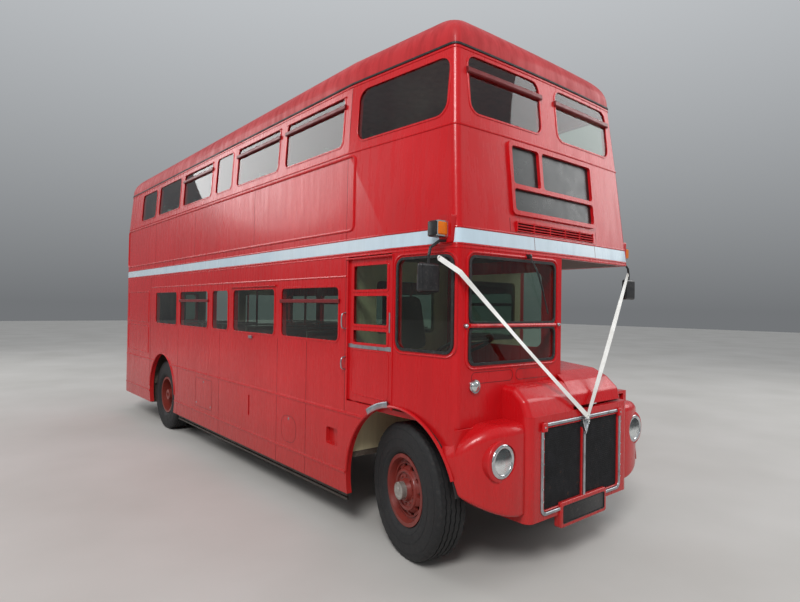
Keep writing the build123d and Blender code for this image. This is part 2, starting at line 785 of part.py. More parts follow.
def grille_mesh():
    """Dark mesh panels either side of the centre bar."""
    whole = end_window(
        -grille_half + 27.3, grille_half - 27.3, grille_z0 + 27.3, grille_z1 - 27.3, -828, -770, 39.7
    )
    return whole - box(-14.3, 14.3, -830, -799, 0, 2000) - plate_space(0.3)


def seam_prism(x_edge, side):
    """Space beside the slanting seam between the fixed hump and the bonnet's tongue."""
    far = -1500 if side < 0 else 1500
    x_at = lambda y: x_edge + hump_seam_slope * (y + 820)
    return prism_z([(x_at(-900), -900), (x_at(-500), -500), (far, -500), (far, -900)], 1000, 1700)


def hump_block(inset, low, back):
    """Rounded block of the fixed half bonnet, set in by a sheet thickness."""
    profile = [(cowl_y + 5 + inset, low), (back, low), (back, 1400 - inset), (-690, 1385 - inset),
               (-790 + inset, 1300 - inset / 2)]
    face = make_face(Polyline(*[(0, y, z) for y, z in profile], close=True))
    block = Pos(-cowl_half + inset, 0, 0) * extrude(face, amount=900, dir=(1, 0, 0))
    ridges = block.edges().filter_by(Axis.X).group_by(Axis.Z)
    block = fillet(ridges[-1] + ridges[-2] + ridges[-3] - block.edges().filter_by(
        lambda e: e.center().Y > back - 1), hump_corner)
    outline = block.faces().sort_by(Axis.X)[0].edges()
    return fillet([e for e in outline if e.center().Z > low + 10 and e.center().Y < back - 1], hump_corner * 0.8)


def cowl_hump():
    """Fixed half of the bonnet, in front of the cab."""
    hump = hump_block(0, cowl_top_z, -500) & seam_prism(hump_seam_x - 20 - hump_seam_gap, -1)
    return hump - hump_block(hump_sheet, cowl_top_z - 1, -400) - lower_body(0, 1000, 1500)


tongue_x0 = -250.0
bonnet_corner = 62.0
bonnet_x0 = 42.0
bonnet_x1 = 640.0
bonnet_hinge_x = 56.0
bonnet_hinge_rise = 8.0
bonnet_pin_radius = 4.0
bonnet_barrel_radius = 9.0
bonnet_hinge_y = [-430.0, 60.0, 560.0]


bonnet_sheet = 18.0
bonnet_low_z = 1205.0
bonnet_line = [(tongue_y, 1205), (-790, 1300), (-690, 1390), (-560, 1450), (690, 1570)]


def inner_line(points, thick):
    """Polyline set in from the given one by a sheet thickness, with mitred corners."""
    inner = []
    for k, (y, z) in enumerate(points):
        ny = nz = sides = 0.0
        for a, b in zip(points[max(k - 1, 0):k + 1], points[max(k, 1):k + 2]):
            run = math.hypot(b[0] - a[0], b[1] - a[1])
            ny += (b[1] - a[1]) / run
            nz -= (b[0] - a[0]) / run
            sides += 1
        scale = sides * thick / (ny * ny + nz * nz)
        inner.append((y + ny * scale, z + nz * scale))
    return inner


def bonnet_block(inset):
    """Solid block under the bonnet's outer face, set in by a sheet thickness, with rounded ridges."""
    line = inner_line(bonnet_line, inset)
    low = bonnet_low_z - inset
    back = bonnet_line[-1][0] + inset
    line[0] = (line[0][0], low)
    line[-1] = (back, line[-1][1])
    face = make_face(Polyline(*[(0, y, z) for y, z in line + [(back, low)]], close=True))
    x0 = tongue_x0 - inset
    block = Pos(x0, 0, 0) * extrude(face, amount=bonnet_x1 - inset - x0, dir=(1, 0, 0))
    ridges = []
    for edge in block.edges().filter_by(Axis.X):
        if edge.center().Z > low + 60 and edge.center().Y < back - 5:
            ridges.append(edge)
    block = fillet(ridges, bonnet_corner - inset)
    rim = []
    for edge in block.faces().sort_by(Axis.X)[-1].edges():
        if edge.center().Z > low + 5 and edge.center().Y < back - 5:
            rim.append(edge)
    return fillet(rim, bonnet_corner - inset)


def hinge_point(y):
    """Point of the bonnet's hinge line at y, above the bonnet's straight top."""
    (y0, z0), (y1, z1) = bonnet_line[-2:]
    return (bonnet_hinge_x, y, z0 + (z1 - z0) * (y - y0) / (y1 - y0) + bonnet_hinge_rise)


def along_hinge(y, start, end, radius):
    """Round bar on the hinge line, from start to end on either side of y."""
    return rod(hinge_point(y + start), hinge_point(y + end), radius)


def bonnet():
    """Opening bonnet on the nearside: top, side and front tongue in one bent sheet, with hinge barrels."""
    sheet = bonnet_block(0) - bonnet_block(bonnet_sheet)
    sheet -= box(tongue_x0 - 5, bonnet_x0, front_foot_y - 6, 1000, 1000, 2000)
    sheet -= seam_prism(hump_seam_x - 20, -1)
    barrels = []
    for y in bonnet_hinge_y:
        for start, end in ((-45, -11), (11, 45)):
            barrels.append(along_hinge(y, start, end, bonnet_barrel_radius))
    sheet = sheet.fuse(*barrels)
    for y in bonnet_hinge_y:
        sheet -= along_hinge(y, -60, 60, bonnet_pin_radius + 0.05)
        sheet -= along_hinge(y, -10.5, 10.5, bonnet_barrel_radius + 6)
    return sheet


def bonnet_pins():
    """Hinge pins of the bonnet, each in a lug on the cab's inner wall."""
    parts = []
    for y in bonnet_hinge_y:
        parts.append(along_hinge(y, -45, 45, bonnet_pin_radius))
        parts.append(along_hinge(y, -10, 10, bonnet_barrel_radius))
        px, py, pz = hinge_point(y)
        parts.append(box(cab_inner_x, px, y - 9, y + 9, pz - 6, pz + 6))
    return parts


def wing_block():
    """Wing blister on the +X side: a bulging plan and an arched front outline, with rounded edges."""
    x0, x1, back = cowl_half, wing_outer_x, wing_back_y
    plan = make_face([
        Line((x0, back, 0), (x0, -800, 0)),
        ThreePointArc((x0, -800, 0), (960, -768, 0), (1130, -672, 0)),
        ThreePointArc((1130, -672, 0), (1188, -612, 0), (x1, -530, 0)),
        Line((x1, -530, 0), (x1, back, 0)),
        Line((x1, back, 0), (x0, back, 0)),
    ])
    front = make_face([
        Line((x0, 0, 478), (x0, 0, 1147)),
        Line((x0, 0, 1147), (860, 0, 1142)),
        ThreePointArc((860, 0, 1142), (1080, 0, 1085), (x1, 0, 930)),
        Line((x1, 0, 930), (x1, 0, 700)),
        ThreePointArc((x1, 0, 700), (970, 0, 548), (x0, 0, 478)),
    ])
    block = extrude(Pos(0, 0, 400) * plan, amount=900, dir=(0, 0, 1))
    block &= extrude(Pos(0, -900, 0) * front, amount=900 + back, dir=(0, 1, 0))
    for low, high, radius in ((900, 1200, wing_top_round), (0, 720, wing_foot_round)):
        rim = []
        for edge in block.edges():
            span = edge.bounding_box()
            if span.size.X > 5 and span.max.Y < back - 1 and low < span.min.Z and span.max.Z < high:
                rim.append(edge)
        block = fillet(rim, radius)
    return block


def wing(side):
    """Front wing with its headlamp boss; the offside one ends on the cab, the nearside one on its panel."""
    solid = wing_block()
    lamp = rod((headlamp_x, -700, headlamp_z), (headlamp_x, headlamp_boss_y, headlamp_z), 150)
    solid = solid.fuse(fillet(lamp.edges().sort_by(Axis.Y)[0], 14))
    solid -= rod((headlamp_x, -690, headlamp_z), (headlamp_x, -900, headlamp_z), headlamp_radius + glass_gap)
    solid -= front_arch()
    if side < 0:
        return solid.mirror(Plane.YZ) - lower_body(0, 300, 1300)
    return solid - box(0, half_width + 50, nearside_panel_y, bulkhead_y, 0, cowl_top_z)


wing_back_y = -460.0
nearside_panel_y = -540.0
wing_outer_x = 1212.0
wing_top_round = 70.0
wing_foot_round = 25.0
headlamp_x = 909.0
headlamp_z = 902.0
headlamp_radius = 120.0
headlamp_boss_y = -782.0


def headlamps():
    """Headlamps: a bowl with a rolled rim and a domed lens, turned about its own axis."""
    rim, lens = headlamp_radius, headlamp_radius - 32
    section = make_face([
        Line((0, 0, 0), (rim, 0, 0)),
        Line((rim, 0, 0), (rim, 84, 0)),
        ThreePointArc((rim, 84, 0), (rim - 14, 98, 0), (rim - 28, 84, 0)),
        Line((rim - 28, 84, 0), (lens, 78, 0)),
        ThreePointArc((lens, 78, 0), (lens * 0.52, 96, 0), (6, 104, 0)),
        Line((6, 104, 0), (0, 104, 0)),
        Line((0, 104, 0), (0, 0, 0)),
    ])
    lamp = Pos(headlamp_x, -691, headlamp_z) * Rot(0, 0, 180) * revolve(section, Axis.Y)
    return lamp.fuse(lamp.mirror(Plane.YZ))


def nearside_wing_panel():
    """Nearside body beside the bonnet: wheel arch side, deck over the wheel."""
    front = nearside_panel_y
    side = box(half_width - 50, half_width, front, bulkhead_y, skirt_z, 1190)
    deck = box(bonnet_x1 - 20, half_width - 50, front, bulkhead_y, 1165, 1190)
    inner = box(bonnet_x1 - 40, bonnet_x1 - 20, front, bulkhead_y, 900, 1190)
    return side.fuse(deck, inner) - front_arch()


plate_half = 320.0
plate_z0 = 315.0
plate_z1 = 510.0
plate_rim = 34.0


def plate_space(gap):
    """Space of the plate box, with a gap all round."""
    return box(
        -plate_half - gap, plate_half + gap, -900, -800 + gap, plate_z0 - gap, plate_z1 + gap
    )


def plate_box():
    """Blank front plate in its raised, rounded frame."""
    block = box(-plate_half, plate_half, -front_overhang, -800, plate_z0, plate_z1)
    block = fillet(block.edges().filter_by(Axis.Y), 22)
    block = fillet(block.faces().sort_by(Axis.Y)[0].edges(), 10)
    recess = box(
        -plate_half + plate_rim, plate_half - plate_rim, -front_overhang - 5, -front_overhang + 8,
        plate_z0 + plate_rim, plate_z1 - plate_rim,
    )
    return block - recess


def engine():
    """Engine as one plain block."""
    return box(-120, 470, -450, 640, 560, 1100)


def front_subframe():
    """Front subframe: two rails and three cross members."""
    parts = [box(-480, -400, -700, 1150, 430, 540), box(400, 480, -700, 1150, 430, 540)]
    for y in (-640, -100, 560, 1100):
        parts.append(box(-400, 400, y - 40, y + 40, 430, 540))
    for x in (-440, 440):
        parts.append(box(x - 40, x + 40, 760, 960, 540, floor_z - floor_thick))
    parts.append(box(-100, 380, -140, -60, 540, 560))
    parts.append(box(-120, 400, 520, 600, 540, 560))
    return fuse(parts)


def front_suspension():
    """Cross beam, wishbones and upright eyes that carry the knuckles, with the kingpins."""
    parts = []
    for side in (-1, 1):
        root, tip = side * 480, side * (kingpin_x - 10)
        parts.append(prism_z([(root, -110), (root, 110), (tip, 26), (tip, -26)], hub_z - 30, hub_z + 30))
        parts.append(Pos(side * kingpin_x, 0, hub_z) * Cylinder(34, 100))
        parts.append(Pos(side * kingpin_x, 0, hub_z) * Cylinder(kingpin_radius, 210))
    return fuse(parts)


def knuckle(side):
    """Steering knuckle: forked eyes on the kingpin, flange, stub axle and steering arm."""
    parts = []
    bore = Cylinder(kingpin_radius + kingpin_fit, 260)
    for z in (80, -80):
        parts.append(Pos(0, 0, z) * Cylinder(38, 48))
        parts.append(box(0, 60, -30, 30, z - 24, z + 24))
    parts.append(box(42, 60, -60, 60, -104, 104))
    body = fuse(parts) - bore
    stub = rod((60, 0, 0), (215, 0, 0), 35.95)
    arm = box(-16, 16, 30, 200, -104, -80)
    ball = Pos(0, 200, -92) * Cylinder(20, 24)
    body = body.fuse(stub, arm, ball)
    body -= Pos(0, 200, -92) * Cylinder(track_pin_radius + kingpin_fit, 60)
    return place_knuckle(body, side)


track_pin_radius = 12.0
track_arm = 200.0
track_z = hub_z - 92.0 - 40.0


def place_knuckle(shape, side):
    """Put a part made about the kingpin on its side, turned to the rest steering angle."""
    if side < 0:
        shape = shape.mirror(Plane.YZ)
    return Pos(side * kingpin_x, 0, hub_z) * Rot(0, 0, -rest_steer) * shape


def track_rod():
    """Track rod between the two steering arms, with a pin at each end."""
    angle = math.radians(-rest_steer)
    dx = -track_arm * math.sin(angle)
    dy = track_arm * math.cos(angle)
    z = track_z
    bar = rod((-kingpin_x + dx, dy, z), (kingpin_x + dx, dy, z), 16)
    parts = [bar]
    for side in (-1, 1):
        top = z + 40 + 26 if side < 0 else z + 26
        parts.append(Pos(side * kingpin_x + dx, dy, (z + top) / 2) * Cylinder(track_pin_radius, top - z))
        parts.append(Pos(side * kingpin_x + dx, dy, z) * Cylinder(22, 40))
    return fuse(parts)


def tyre_profile():
    """Tyre section as (axial, radial) points."""
    w = tyre_half_width
    r = wheel_radius
    return [(-97.5, rim_radius + 0.3), (-97.5, rim_radius + 18), (-w + 6, rim_radius + 56), (-w, rim_radius + 110), (-w + 4, r - 70),
            (-w + 20, r - 14), (-w + 40, r), (w - 40, r), (w - 20, r - 14), (w - 4, r - 70),
            (w, rim_radius + 110), (w - 6, rim_radius + 56), (97.5, rim_radius + 18), (97.5, rim_radius + 0.3)]


def turned(points):
    """Turn (axial, radial) points about the X axis."""
    face = make_face(Polyline(*[(a, r, 0) for a, r in points], close=True))
    return revolve(face, Axis.X)


hand_hole_count = 10


def wheel_profile(disc, hub_out, hub_in):
    """Rim, dished disc and hub as (axial, radial) points; the disc lies at the given offset."""
    return [
        (-rim_half_width, rim_radius + 16), (-rim_half_width, rim_radius - 14), (disc - 20, rim_radius - 30),
        (disc - 20, 190), (disc - 5, 150), (hub_in, 100), (hub_in, 36), (hub_out, 36), (hub_out, 78),
        (disc + 20, 90), (disc + 20, 165), (disc - 6, 185), (disc - 6, rim_radius - 30),
        (rim_half_width, rim_radius - 14), (rim_half_width, rim_radius + 16), (rim_half_width - 10, rim_radius + 16),
        (rim_half_width - 14, rim_radius), (-rim_half_width + 14, rim_radius), (-rim_half_width + 10, rim_radius + 16),
    ]


def hand_holes(disc):
    """Ring of rounded triangular holes through a wheel's disc, near its rim."""
    hole = make_face(Polyline((0, 196, -36), (0, 196, 36), (0, 150, 0), close=True))
    hole = extrude(fillet(hole.vertices(), 10), amount=80, dir=(1, 0, 0))
    return [Rot(k * 360 / hand_hole_count, 0, 0) * Pos(disc - 40, 0, 0) * hole for k in range(hand_hole_count)]


def front_tyre(side):
    """Front tyre at the rest steering angle."""
    shape = Pos(front_track_half - kingpin_x, 0, 0) * turned(tyre_profile())
    return place_knuckle(shape, side)


def front_wheel(side):
    """Front wheel and hub at the rest steering angle."""
    shape = turned(wheel_profile(70.0, 120.0, -60.0)) - hand_holes(70.0)
    cap = turned([(115, 0), (115, 66), (150, 60), (162, 40), (162, 0)])
    shape = Pos(front_track_half - kingpin_x, 0, 0) * shape.fuse(cap)
    return place_knuckle(shape, side)


def rear_tyres(side):
    """Pair of rear tyres on one side."""
    profile = turned(tyre_profile())
    outer = Pos(side * rear_outer_x, wheelbase, hub_z) * profile
    inner = Pos(side * (rear_outer_x - rear_twin_spacing), wheelbase, hub_z) * profile
    return outer.fuse(inner)


def rear_wheels(side):
    """Pair of rear wheels back to back, with the hub between them."""
    outer = turned(wheel_profile(-90.0, 100.0, -100.0)) - hand_holes(-90.0)
    inner = turned(wheel_profile(-90.0, 20.0, -100.0)).mirror(Plane.YZ)
    pair = (Pos(rear_twin_spacing, 0, 0) * outer).fuse(inner)
    link = turned([(80, 75), (240, 75), (240, 110), (80, 110)])
    pair = Pos(rear_outer_x - rear_twin_spacing, 0, 0) * pair.fuse(link)
    if side < 0:
        pair = pair.mirror(Plane.YZ)
    return Pos(0, wheelbase, hub_z) * pair


def rear_axle():
    """Rear axle casing with its differential and trailing arms."""
    casing = rod((-560, wheelbase, hub_z), (560, wheelbase, hub_z), 60)
    stub = rod((-1060, wheelbase, hub_z), (1060, wheelbase, hub_z), 35.9)
    pot = rod((-200, wheelbase, hub_z), (-40, wheelbase, hub_z), 118)
    arms = [box(x - 25, x + 25, 4700, wheelbase + 320, hub_z - 50, hub_z + 10) for x in (-400, 400)]
    return fuse([casing, stub, pot] + arms)


def rear_subframe():
    """Brackets and cross member that carry the rear axle's arms and springs."""
    top = floor_z - floor_thick
    parts = [box(-450, 450, 4640, 4699.7, hub_z - 60, top) - rod((-120, 4600, 480), (-120, 4800, 480), 41)]
    for x in (-400, 400):
        parts.append(Pos(x, wheelbase + 260, (hub_z + 10 + top) / 2) * Cylinder(60, top - hub_z - 10))
    return fuse(parts)


def gearbox_and_shaft():
    """Gearbox under the floor with the propeller shaft to the axle."""
    top = floor_z - floor_thick
    box_part = box(-220, 180, 2010, 2700, 330, top)
    shaft = rod((-120, 2700, 480), (-120, wheelbase - 118.3, 480), 40)
    front = rod((60, 1140.3, 480), (60, 2000, 480), 40)
    return box_part.fuse(shaft, front)


def fuel_tank():
    """Fuel tank under the offside floor."""
    return box(-1120, -560, 2850, 3650, 400, floor_z - floor_thick)


def guard_rails():
    """Slatted life guards under the skirts, on brackets from the floor."""
    parts = []
    for side in (-1, 1):
        x0, x1 = sorted((side * 1130, side * 1148))
        for z in (262.0, 300.0):
            parts.append(box(x0, x1, 760, 5150, z, z + 22))
        for y in (820, 1900, 2800, 3700, 4600):
            b0, b1 = sorted((side * 1112, side * 1130))
            parts.append(box(b0, b1, y - 25, y + 25, 262, floor_z - floor_thick))
    return fuse(parts)


# Seats: width across the bus, depth, cushion height over the floor, back height
seat_width = 840.0
seat_depth = 420.0
seat_height = 430.0
seat_back = 560.0
seat_wall_gap = 12.0
seat_round = 28.0
seat_frame_gap = 0.4
upper_seat_wall = 1145.0
lower_seat_rows = [1430.0, 2130.0, 2830.0, 3530.0, 4230.0, 4930.0]
upper_seat_rows = [500.0, 1150.0, 1850.0, 2550.0, 3250.0, 3950.0, 4650.0, 5350.0, 6050.0]


def seat(y, side, wall_x, base_z):
    """One double seat: cushion and back in a single bent block."""
    profile = [(y - seat_depth, base_z + seat_height - 100), (y - seat_depth, base_z + seat_height),
               (y - 20, base_z + seat_height - 20), (y + 60, base_z + seat_height + seat_back),
               (y + 130, base_z + seat_height + seat_back), (y + 40, base_z + seat_height - 100)]
    x0, x1 = sorted((side * (wall_x - seat_wall_gap), side * (wall_x - seat_wall_gap - seat_width)))
    face = make_face(Polyline(*[(x0, a, z) for a, z in profile], close=True))
    return extrude(fillet(face.vertices(), seat_round), amount=x1 - x0, dir=(1, 0, 0))


def seat_frame(y, side, wall_x, base_z):
    """Steel frame under one seat, with a leg by the gangway."""
    x0, x1 = sorted((side * wall_x, side * (wall_x - seat_wall_gap - seat_width + 20)))
    rail = box(x0, x1, y - seat_depth + 40, y, base_z + seat_height - 130, base_z + seat_height - 100.3)
    leg_x = side * (wall_x - seat_wall_gap - seat_width + 60)
    leg = box(leg_x - 15, leg_x + 15, y - seat_depth + 60, y - 20, base_z, base_z + seat_height - 130)
    return rail.fuse(leg)


def upper_seat_frame(y, side, wall_x, base_z):
    """Frame under one seat of the upper deck, cut off on the leaning wall."""
    inside = deck_body(upper_wall + seat_frame_gap, deck_z, gutter_z)
    rail = box(*sorted((side * (upper_seat_wall - 20), side * wall_x)), y - seat_depth + 40, y,
               base_z + seat_height - 130, base_z + seat_height - 100.3)
    return seat_frame(y, side, upper_seat_wall, base_z).fuse(rail) & inside


def seats(rows, wall_x, base_z, make):
    """All seats or frames of one deck."""
    return fuse([make(y, side, wall_x, base_z) for y in rows for side in (-1, 1)])


def bench_seats():
    """Lengthwise seats over the rear wheel arches."""
    parts = []
    for side in (-1, 1):
        wall = half_width - lower_wall
        x0, x1 = sorted((side * (wall - 12), side * (wall - 430)))
        b0, b1 = sorted((side * (wall - 12), side * (wall - 100)))
        y0, y1 = wheelbase - arch_half_y + 20, rear_bulkhead_y - 20
        parts.append(box(x0, x1, y0, y1, arch_top_z + 0.3, arch_top_z + 100).fuse(
            box(b0, b1, y0, y1, arch_top_z + 100, arch_top_z + 480)))
    return parts[0].fuse(parts[1])


def poles():
    """Grab poles of the platform and the saloon."""
    parts = [rod((1120, 7780, platform_z), (1120, 7780, canopy_rail_z), 19)]
    parts.append(rod((340, 6530, platform_z), (340, 6530, deck_z), 17))
    parts.append(rod((-480, 7400, platform_z), (-480, 7400, deck_z), 17))
    for y in (1430.0, 2830.0, 4230.0):
        for side in (-1, 1):
            parts.append(rod((side * 290, y + 170, floor_z), (side * 290, y + 170, deck_z), 15))
    return fuse(parts)


def driver_seat():
    """Driver's seat, cushion and back."""
    x0, x1 = -900.0, -430.0
    cushion = box(x0, x1, 80, 540, 1480, 1590)
    cushion = fillet(cushion.edges().filter_by(Axis.Y) + cushion.edges().filter_by(Axis.X), 30)
    back = prism_x([(470, 1570), (555, 1570), (650, 2080), (570, 2080)], x0 + 20, x1 - 20)
    back = fillet(back.faces().sort_by(Axis.Z)[-1].edges(), 30)
    return cushion.fuse(back)


def driver_seat_base():
    """Pedestal of the driver's seat."""
    return box(-820, -510, 160, 480, cab_floor_z, 1479.7)


# Steering wheel: centre, lean of the column from vertical
steering_centre = (-665.0, -170.0, 1660.0)
steering_lean = 25.0
steering_radius = 235.0


def steering_axis():
    """Unit vector up the steering column towards the driver."""
    lean = math.radians(steering_lean)
    return Vector(0, math.sin(lean), math.cos(lean))


def steering_wheel():
    """Steering wheel with three spokes and a hub over the column."""
    plane = Plane(origin=steering_centre, x_dir=(1, 0, 0), z_dir=steering_axis())
    ring = plane * Torus(steering_radius, 14)
    hub = plane * Cylinder(38, 50)
    parts = [ring, hub]
    for angle in (90, 210, 330):
        tip = plane * Pos(
            steering_radius * math.cos(math.radians(angle)), steering_radius * math.sin(math.radians(angle)), 0
        )
        parts.append(rod(steering_centre, tuple(tip.position), 9))
    return fuse(parts)


def steering_column():
    """Steering column from the cab floor to the wheel."""
    axis = steering_axis()
    top = Vector(*steering_centre) - axis * 26
    foot = top - axis * ((top.Z - cab_floor_z) / axis.Z)
    column = rod(tuple(foot - axis * 60), tuple(top), 28)
    return column & box(-1200, 0, -900, 700, cab_floor_z, 2300)


def dash():
    """Instrument ledge under the windscreen."""
    return box(-1090, -30, -530, -400, 1470, 1540) & lower_body(cab_wall + 0.3, 1400, 1600)


# Brackets on the front corners, with the indicators and mirror arms they carry
bracket_y0 = -535.0
bracket_y1 = -415.0
bracket_z0 = 2425.0
bracket_z1 = 2625.0
bracket_x = 1200.0
mirror_width = 185.0
mirror_z0 = 2070.0
mirror_z1 = 2270.0
mirror_y = -480.0


def corner_brackets():
    """Rounded plates on the front corners that carry the indicators and mirrors."""
    plate = box(front_foot_half - 60, bracket_x, bracket_y0, bracket_y1, bracket_z0, bracket_z1)
    plate = fillet(plate.edges().filter_by(Axis.X), 15) - deck_body(0, deck_z, gutter_z)
    return [plate, plate.mirror(Plane.YZ)]


def mirrors():
    """Mirror heads on bent arms, carried by a bracket on each front corner."""
    x_head = mirror_reach - mirror_width / 2
    parts = []
    for side in (-1, 1):
        head = box(mirror_reach - mirror_width, mirror_reach, mirror_y - 25, mirror_y + 25, mirror_z0, mirror_z1)
        head = fillet(head.edges(), 20)
        arm = tube([
            (bracket_x - 4, mirror_y, bracket_z0 + 14), (bracket_x + 60, mirror_y, bracket_z0 + 8),
            (x_head - 15, mirror_y, bracket_z0 - 45), (x_head, mirror_y, bracket_z0 - 100),
            (x_head, mirror_y, mirror_z1 - 30),
        ], 10)
        whole = head.fuse(arm - box(0, bracket_x, mirror_y - 50, mirror_y + 50, deck_z, bracket_z1))
        parts.append(whole if side > 0 else whole.mirror(Plane.YZ))
    return fuse(parts)


def indicators():
    """Amber indicators, standing out from the corner brackets."""
    parts = []
    for side in (-1, 1):
        lamp = box(bracket_x, bracket_x + 105, bracket_y0 + 30, bracket_y1 + 10, bracket_z0 + 40, bracket_z0 + 150)
        lamp = fillet(lamp.faces().sort_by(Axis.X)[-1].edges(), 12)
        parts.append(lamp if side > 0 else lamp.mirror(Plane.YZ))
    return parts


def side_lamps():
    """Round side lamps on the front of the cab and the nearside wing."""
    return rod((-994, -500, 1407), (-994, -585, 1407), 50) - lower_body(0, 1300, 1500)


emergency_hinge_y = rear_y - 12.0
emergency_hinge_z = door_z0 - 3.0
emergency_hinge_x = [-400.0, 400.0]
emergency_pin_radius = 4.0
emergency_barrel_radius = 9.0


def across_hinge(x, start, end, radius):
    """Round bar on the emergency door's hinge line, from start to end on either side of x."""
    y, z = emergency_hinge_y, emergency_hinge_z
    return rod((x + start, y, z), (x + end, y, z), radius)


def emergency_door():
    """Upper rear emergency door, hinged along its lower edge."""
    shell = upper_shell(0, 35) & emergency_opening(6)
    x0, x1, z0, z1 = -door_half + 70, door_half - 70, door_z0 + 60, door_z1 - 60
    shell -= end_window(x0, x1, z0, z1, rear_y - 400, rear_y + 50, 60)
    for x in emergency_hinge_x:
        for start, end in ((-45, -11), (11, 45)):
            barrel = across_hinge(x, start, end, emergency_barrel_radius)
            web = box(x + start, x + end, rear_y - 60, emergency_hinge_y, emergency_hinge_z + 9, emergency_hinge_z + 25)
            web -= upper_shell(1, 60)
            shell = shell.fuse(barrel.fuse(web, box(
                x + start, x + end, emergency_hinge_y - 6, emergency_hinge_y + 6, emergency_hinge_z, emergency_hinge_z + 25)))
        shell -= across_hinge(x, -60, 60, emergency_pin_radius + 0.05)
    return shell


def emergency_pins():
    """Hinge pins of the emergency door, each in a lug on the wall below the door."""
    parts = []
    for x in emergency_hinge_x:
        parts.append(across_hinge(x, -45, 45, emergency_pin_radius))
        parts.append(across_hinge(x, -10, 10, emergency_barrel_radius))
        y, z = emergency_hinge_y, emergency_hinge_z
        parts.append(box(x - 10, x + 10, y - 40, y, z - 30, z) - upper_shell(0, 60))
    return parts


def emergency_glass():
    """Pane of the emergency door."""
    pane = upper_shell(glass_inset, glass_inset + glass_thick)
    return pane & end_window(
        -door_half + 70, door_half - 70, door_z0 + 60, door_z1 - 60, rear_y - 400, rear_y + 50, 60, glass_gap
    )


def rear_lamps():
    """Rear lamps and the blank rear plate on the lower rear wall."""
    lamps = fuse([rod((x, rear_y - 60, z), (x, rear_y, z), 45) for x, z in ((-500, 900), (-500, 1050))])
    return lamps - lower_body(0, 800, 1150)


def save(name, shape):
    """Write one node, moved so that Y is measured from the middle of the bus."""
    solids = list(shape.solids())
    body = Compound(children=solids) if len(solids) > 1 else solids[0]
    export_step(Pos(0, front_overhang - length / 2, 0) * body, f"parts/{name}.step")


def main():
    """Build and write every node."""
    os.makedirs("parts", exist_ok=True)
    upper_front, upper_rear, upper_offside, upper_nearside = upper_walls()
    lower_offside, lower_nearside, lower_rear = lower_walls()
    nodes = {
        "upper_front_panel": fuse([upper_front, sign_frame(), louvre()] + corner_brackets()),
        "upper_rear_panel": fuse([upper_rear] + emergency_pins()),
        "upper_side_offside": upper_offside,
        "upper_side_nearside": upper_nearside,
        "window_glass": fuse([upper_glass(), lower_glass(), bulkhead_glass(), cab_glass()]),
        "destination_signs": destination_signs(),
        "roof": roof(),
        "upper_floor": upper_floor(),
        "lower_side_offside": lower_offside,
        "lower_side_nearside": lower_nearside,
        "lower_rear_panel": lower_rear,
        "lower_floor": fuse([lower_floor(), rear_wheel_arches()]),
        "platform": fuse([platform(), platform_riser()]),
        "bulkheads": fuse([front_bulkhead(), rear_bulkhead()]),
        "staircase": staircase(),
        "cab_shell": fuse([cab_shell(), cab_floor()] + bonnet_pins()),
        "cab_door": cab_door(),
        "cab_door_glass": cab_door_glass(),
        "radiator_cowl": fuse([radiator_cowl(), cowl_hump()]),
        "grille_frame": grille_frame(),
        "radiator": fuse([radiator(), grille_mesh()]),
        "bonnet": bonnet(),
        "wing_offside": wing(-1),
        "wing_nearside": fuse([wing(1), nearside_wing_panel()]),
        "plate_box": plate_box(),
        "engine": engine(),
        "subframes": fuse([front_subframe(), rear_subframe()]),
        "front_suspension": front_suspension(),
        "knuckle_offside": knuckle(-1),
        "knuckle_nearside": knuckle(1),
        "track_rod": track_rod(),
        "front_tyre_offside": front_tyre(-1),
        "front_tyre_nearside": front_tyre(1),
        "front_wheel_offside": front_wheel(-1),
        "front_wheel_nearside": front_wheel(1),
        "rear_tyres_offside": rear_tyres(-1),
        "rear_tyres_nearside": rear_tyres(1),
        "rear_wheels_offside": rear_wheels(-1),
        "rear_wheels_nearside": rear_wheels(1),
        "rear_axle": rear_axle(),
        "transmission": gearbox_and_shaft(),
        "fuel_tank": fuel_tank(),
        "guard_rails": guard_rails(),
        "passenger_seats": fuse([
            seats(lower_seat_rows, half_width - lower_wall, floor_z, seat),
            seats(upper_seat_rows, upper_seat_wall, upper_floor_z, seat),
            bench_seats(),
        ]),
        "seat_frames": fuse([
            seats(lower_seat_rows, half_width - lower_wall, floor_z, seat_frame),
            seats(upper_seat_rows, half_width, upper_floor_z, upper_seat_frame),
        ]),
        "poles": poles(),
        "driver_seat": driver_seat(),
        "cab_fittings": fuse([driver_seat_base(), steering_column(), dash()]),
        "steering_wheel": steering_wheel(),
        "mirrors": mirrors(),
        "lamps": fuse([headlamps(), side_lamps(), rear_lamps()] + indicators()),
        "emergency_door": emergency_door(),
        "emergency_glass": emergency_glass(),
    }
    for name, shape in nodes.items():
        save(name, shape)


main()
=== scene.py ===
import json
import math

import bpy
import numpy as np
from mathutils import Matrix, Vector


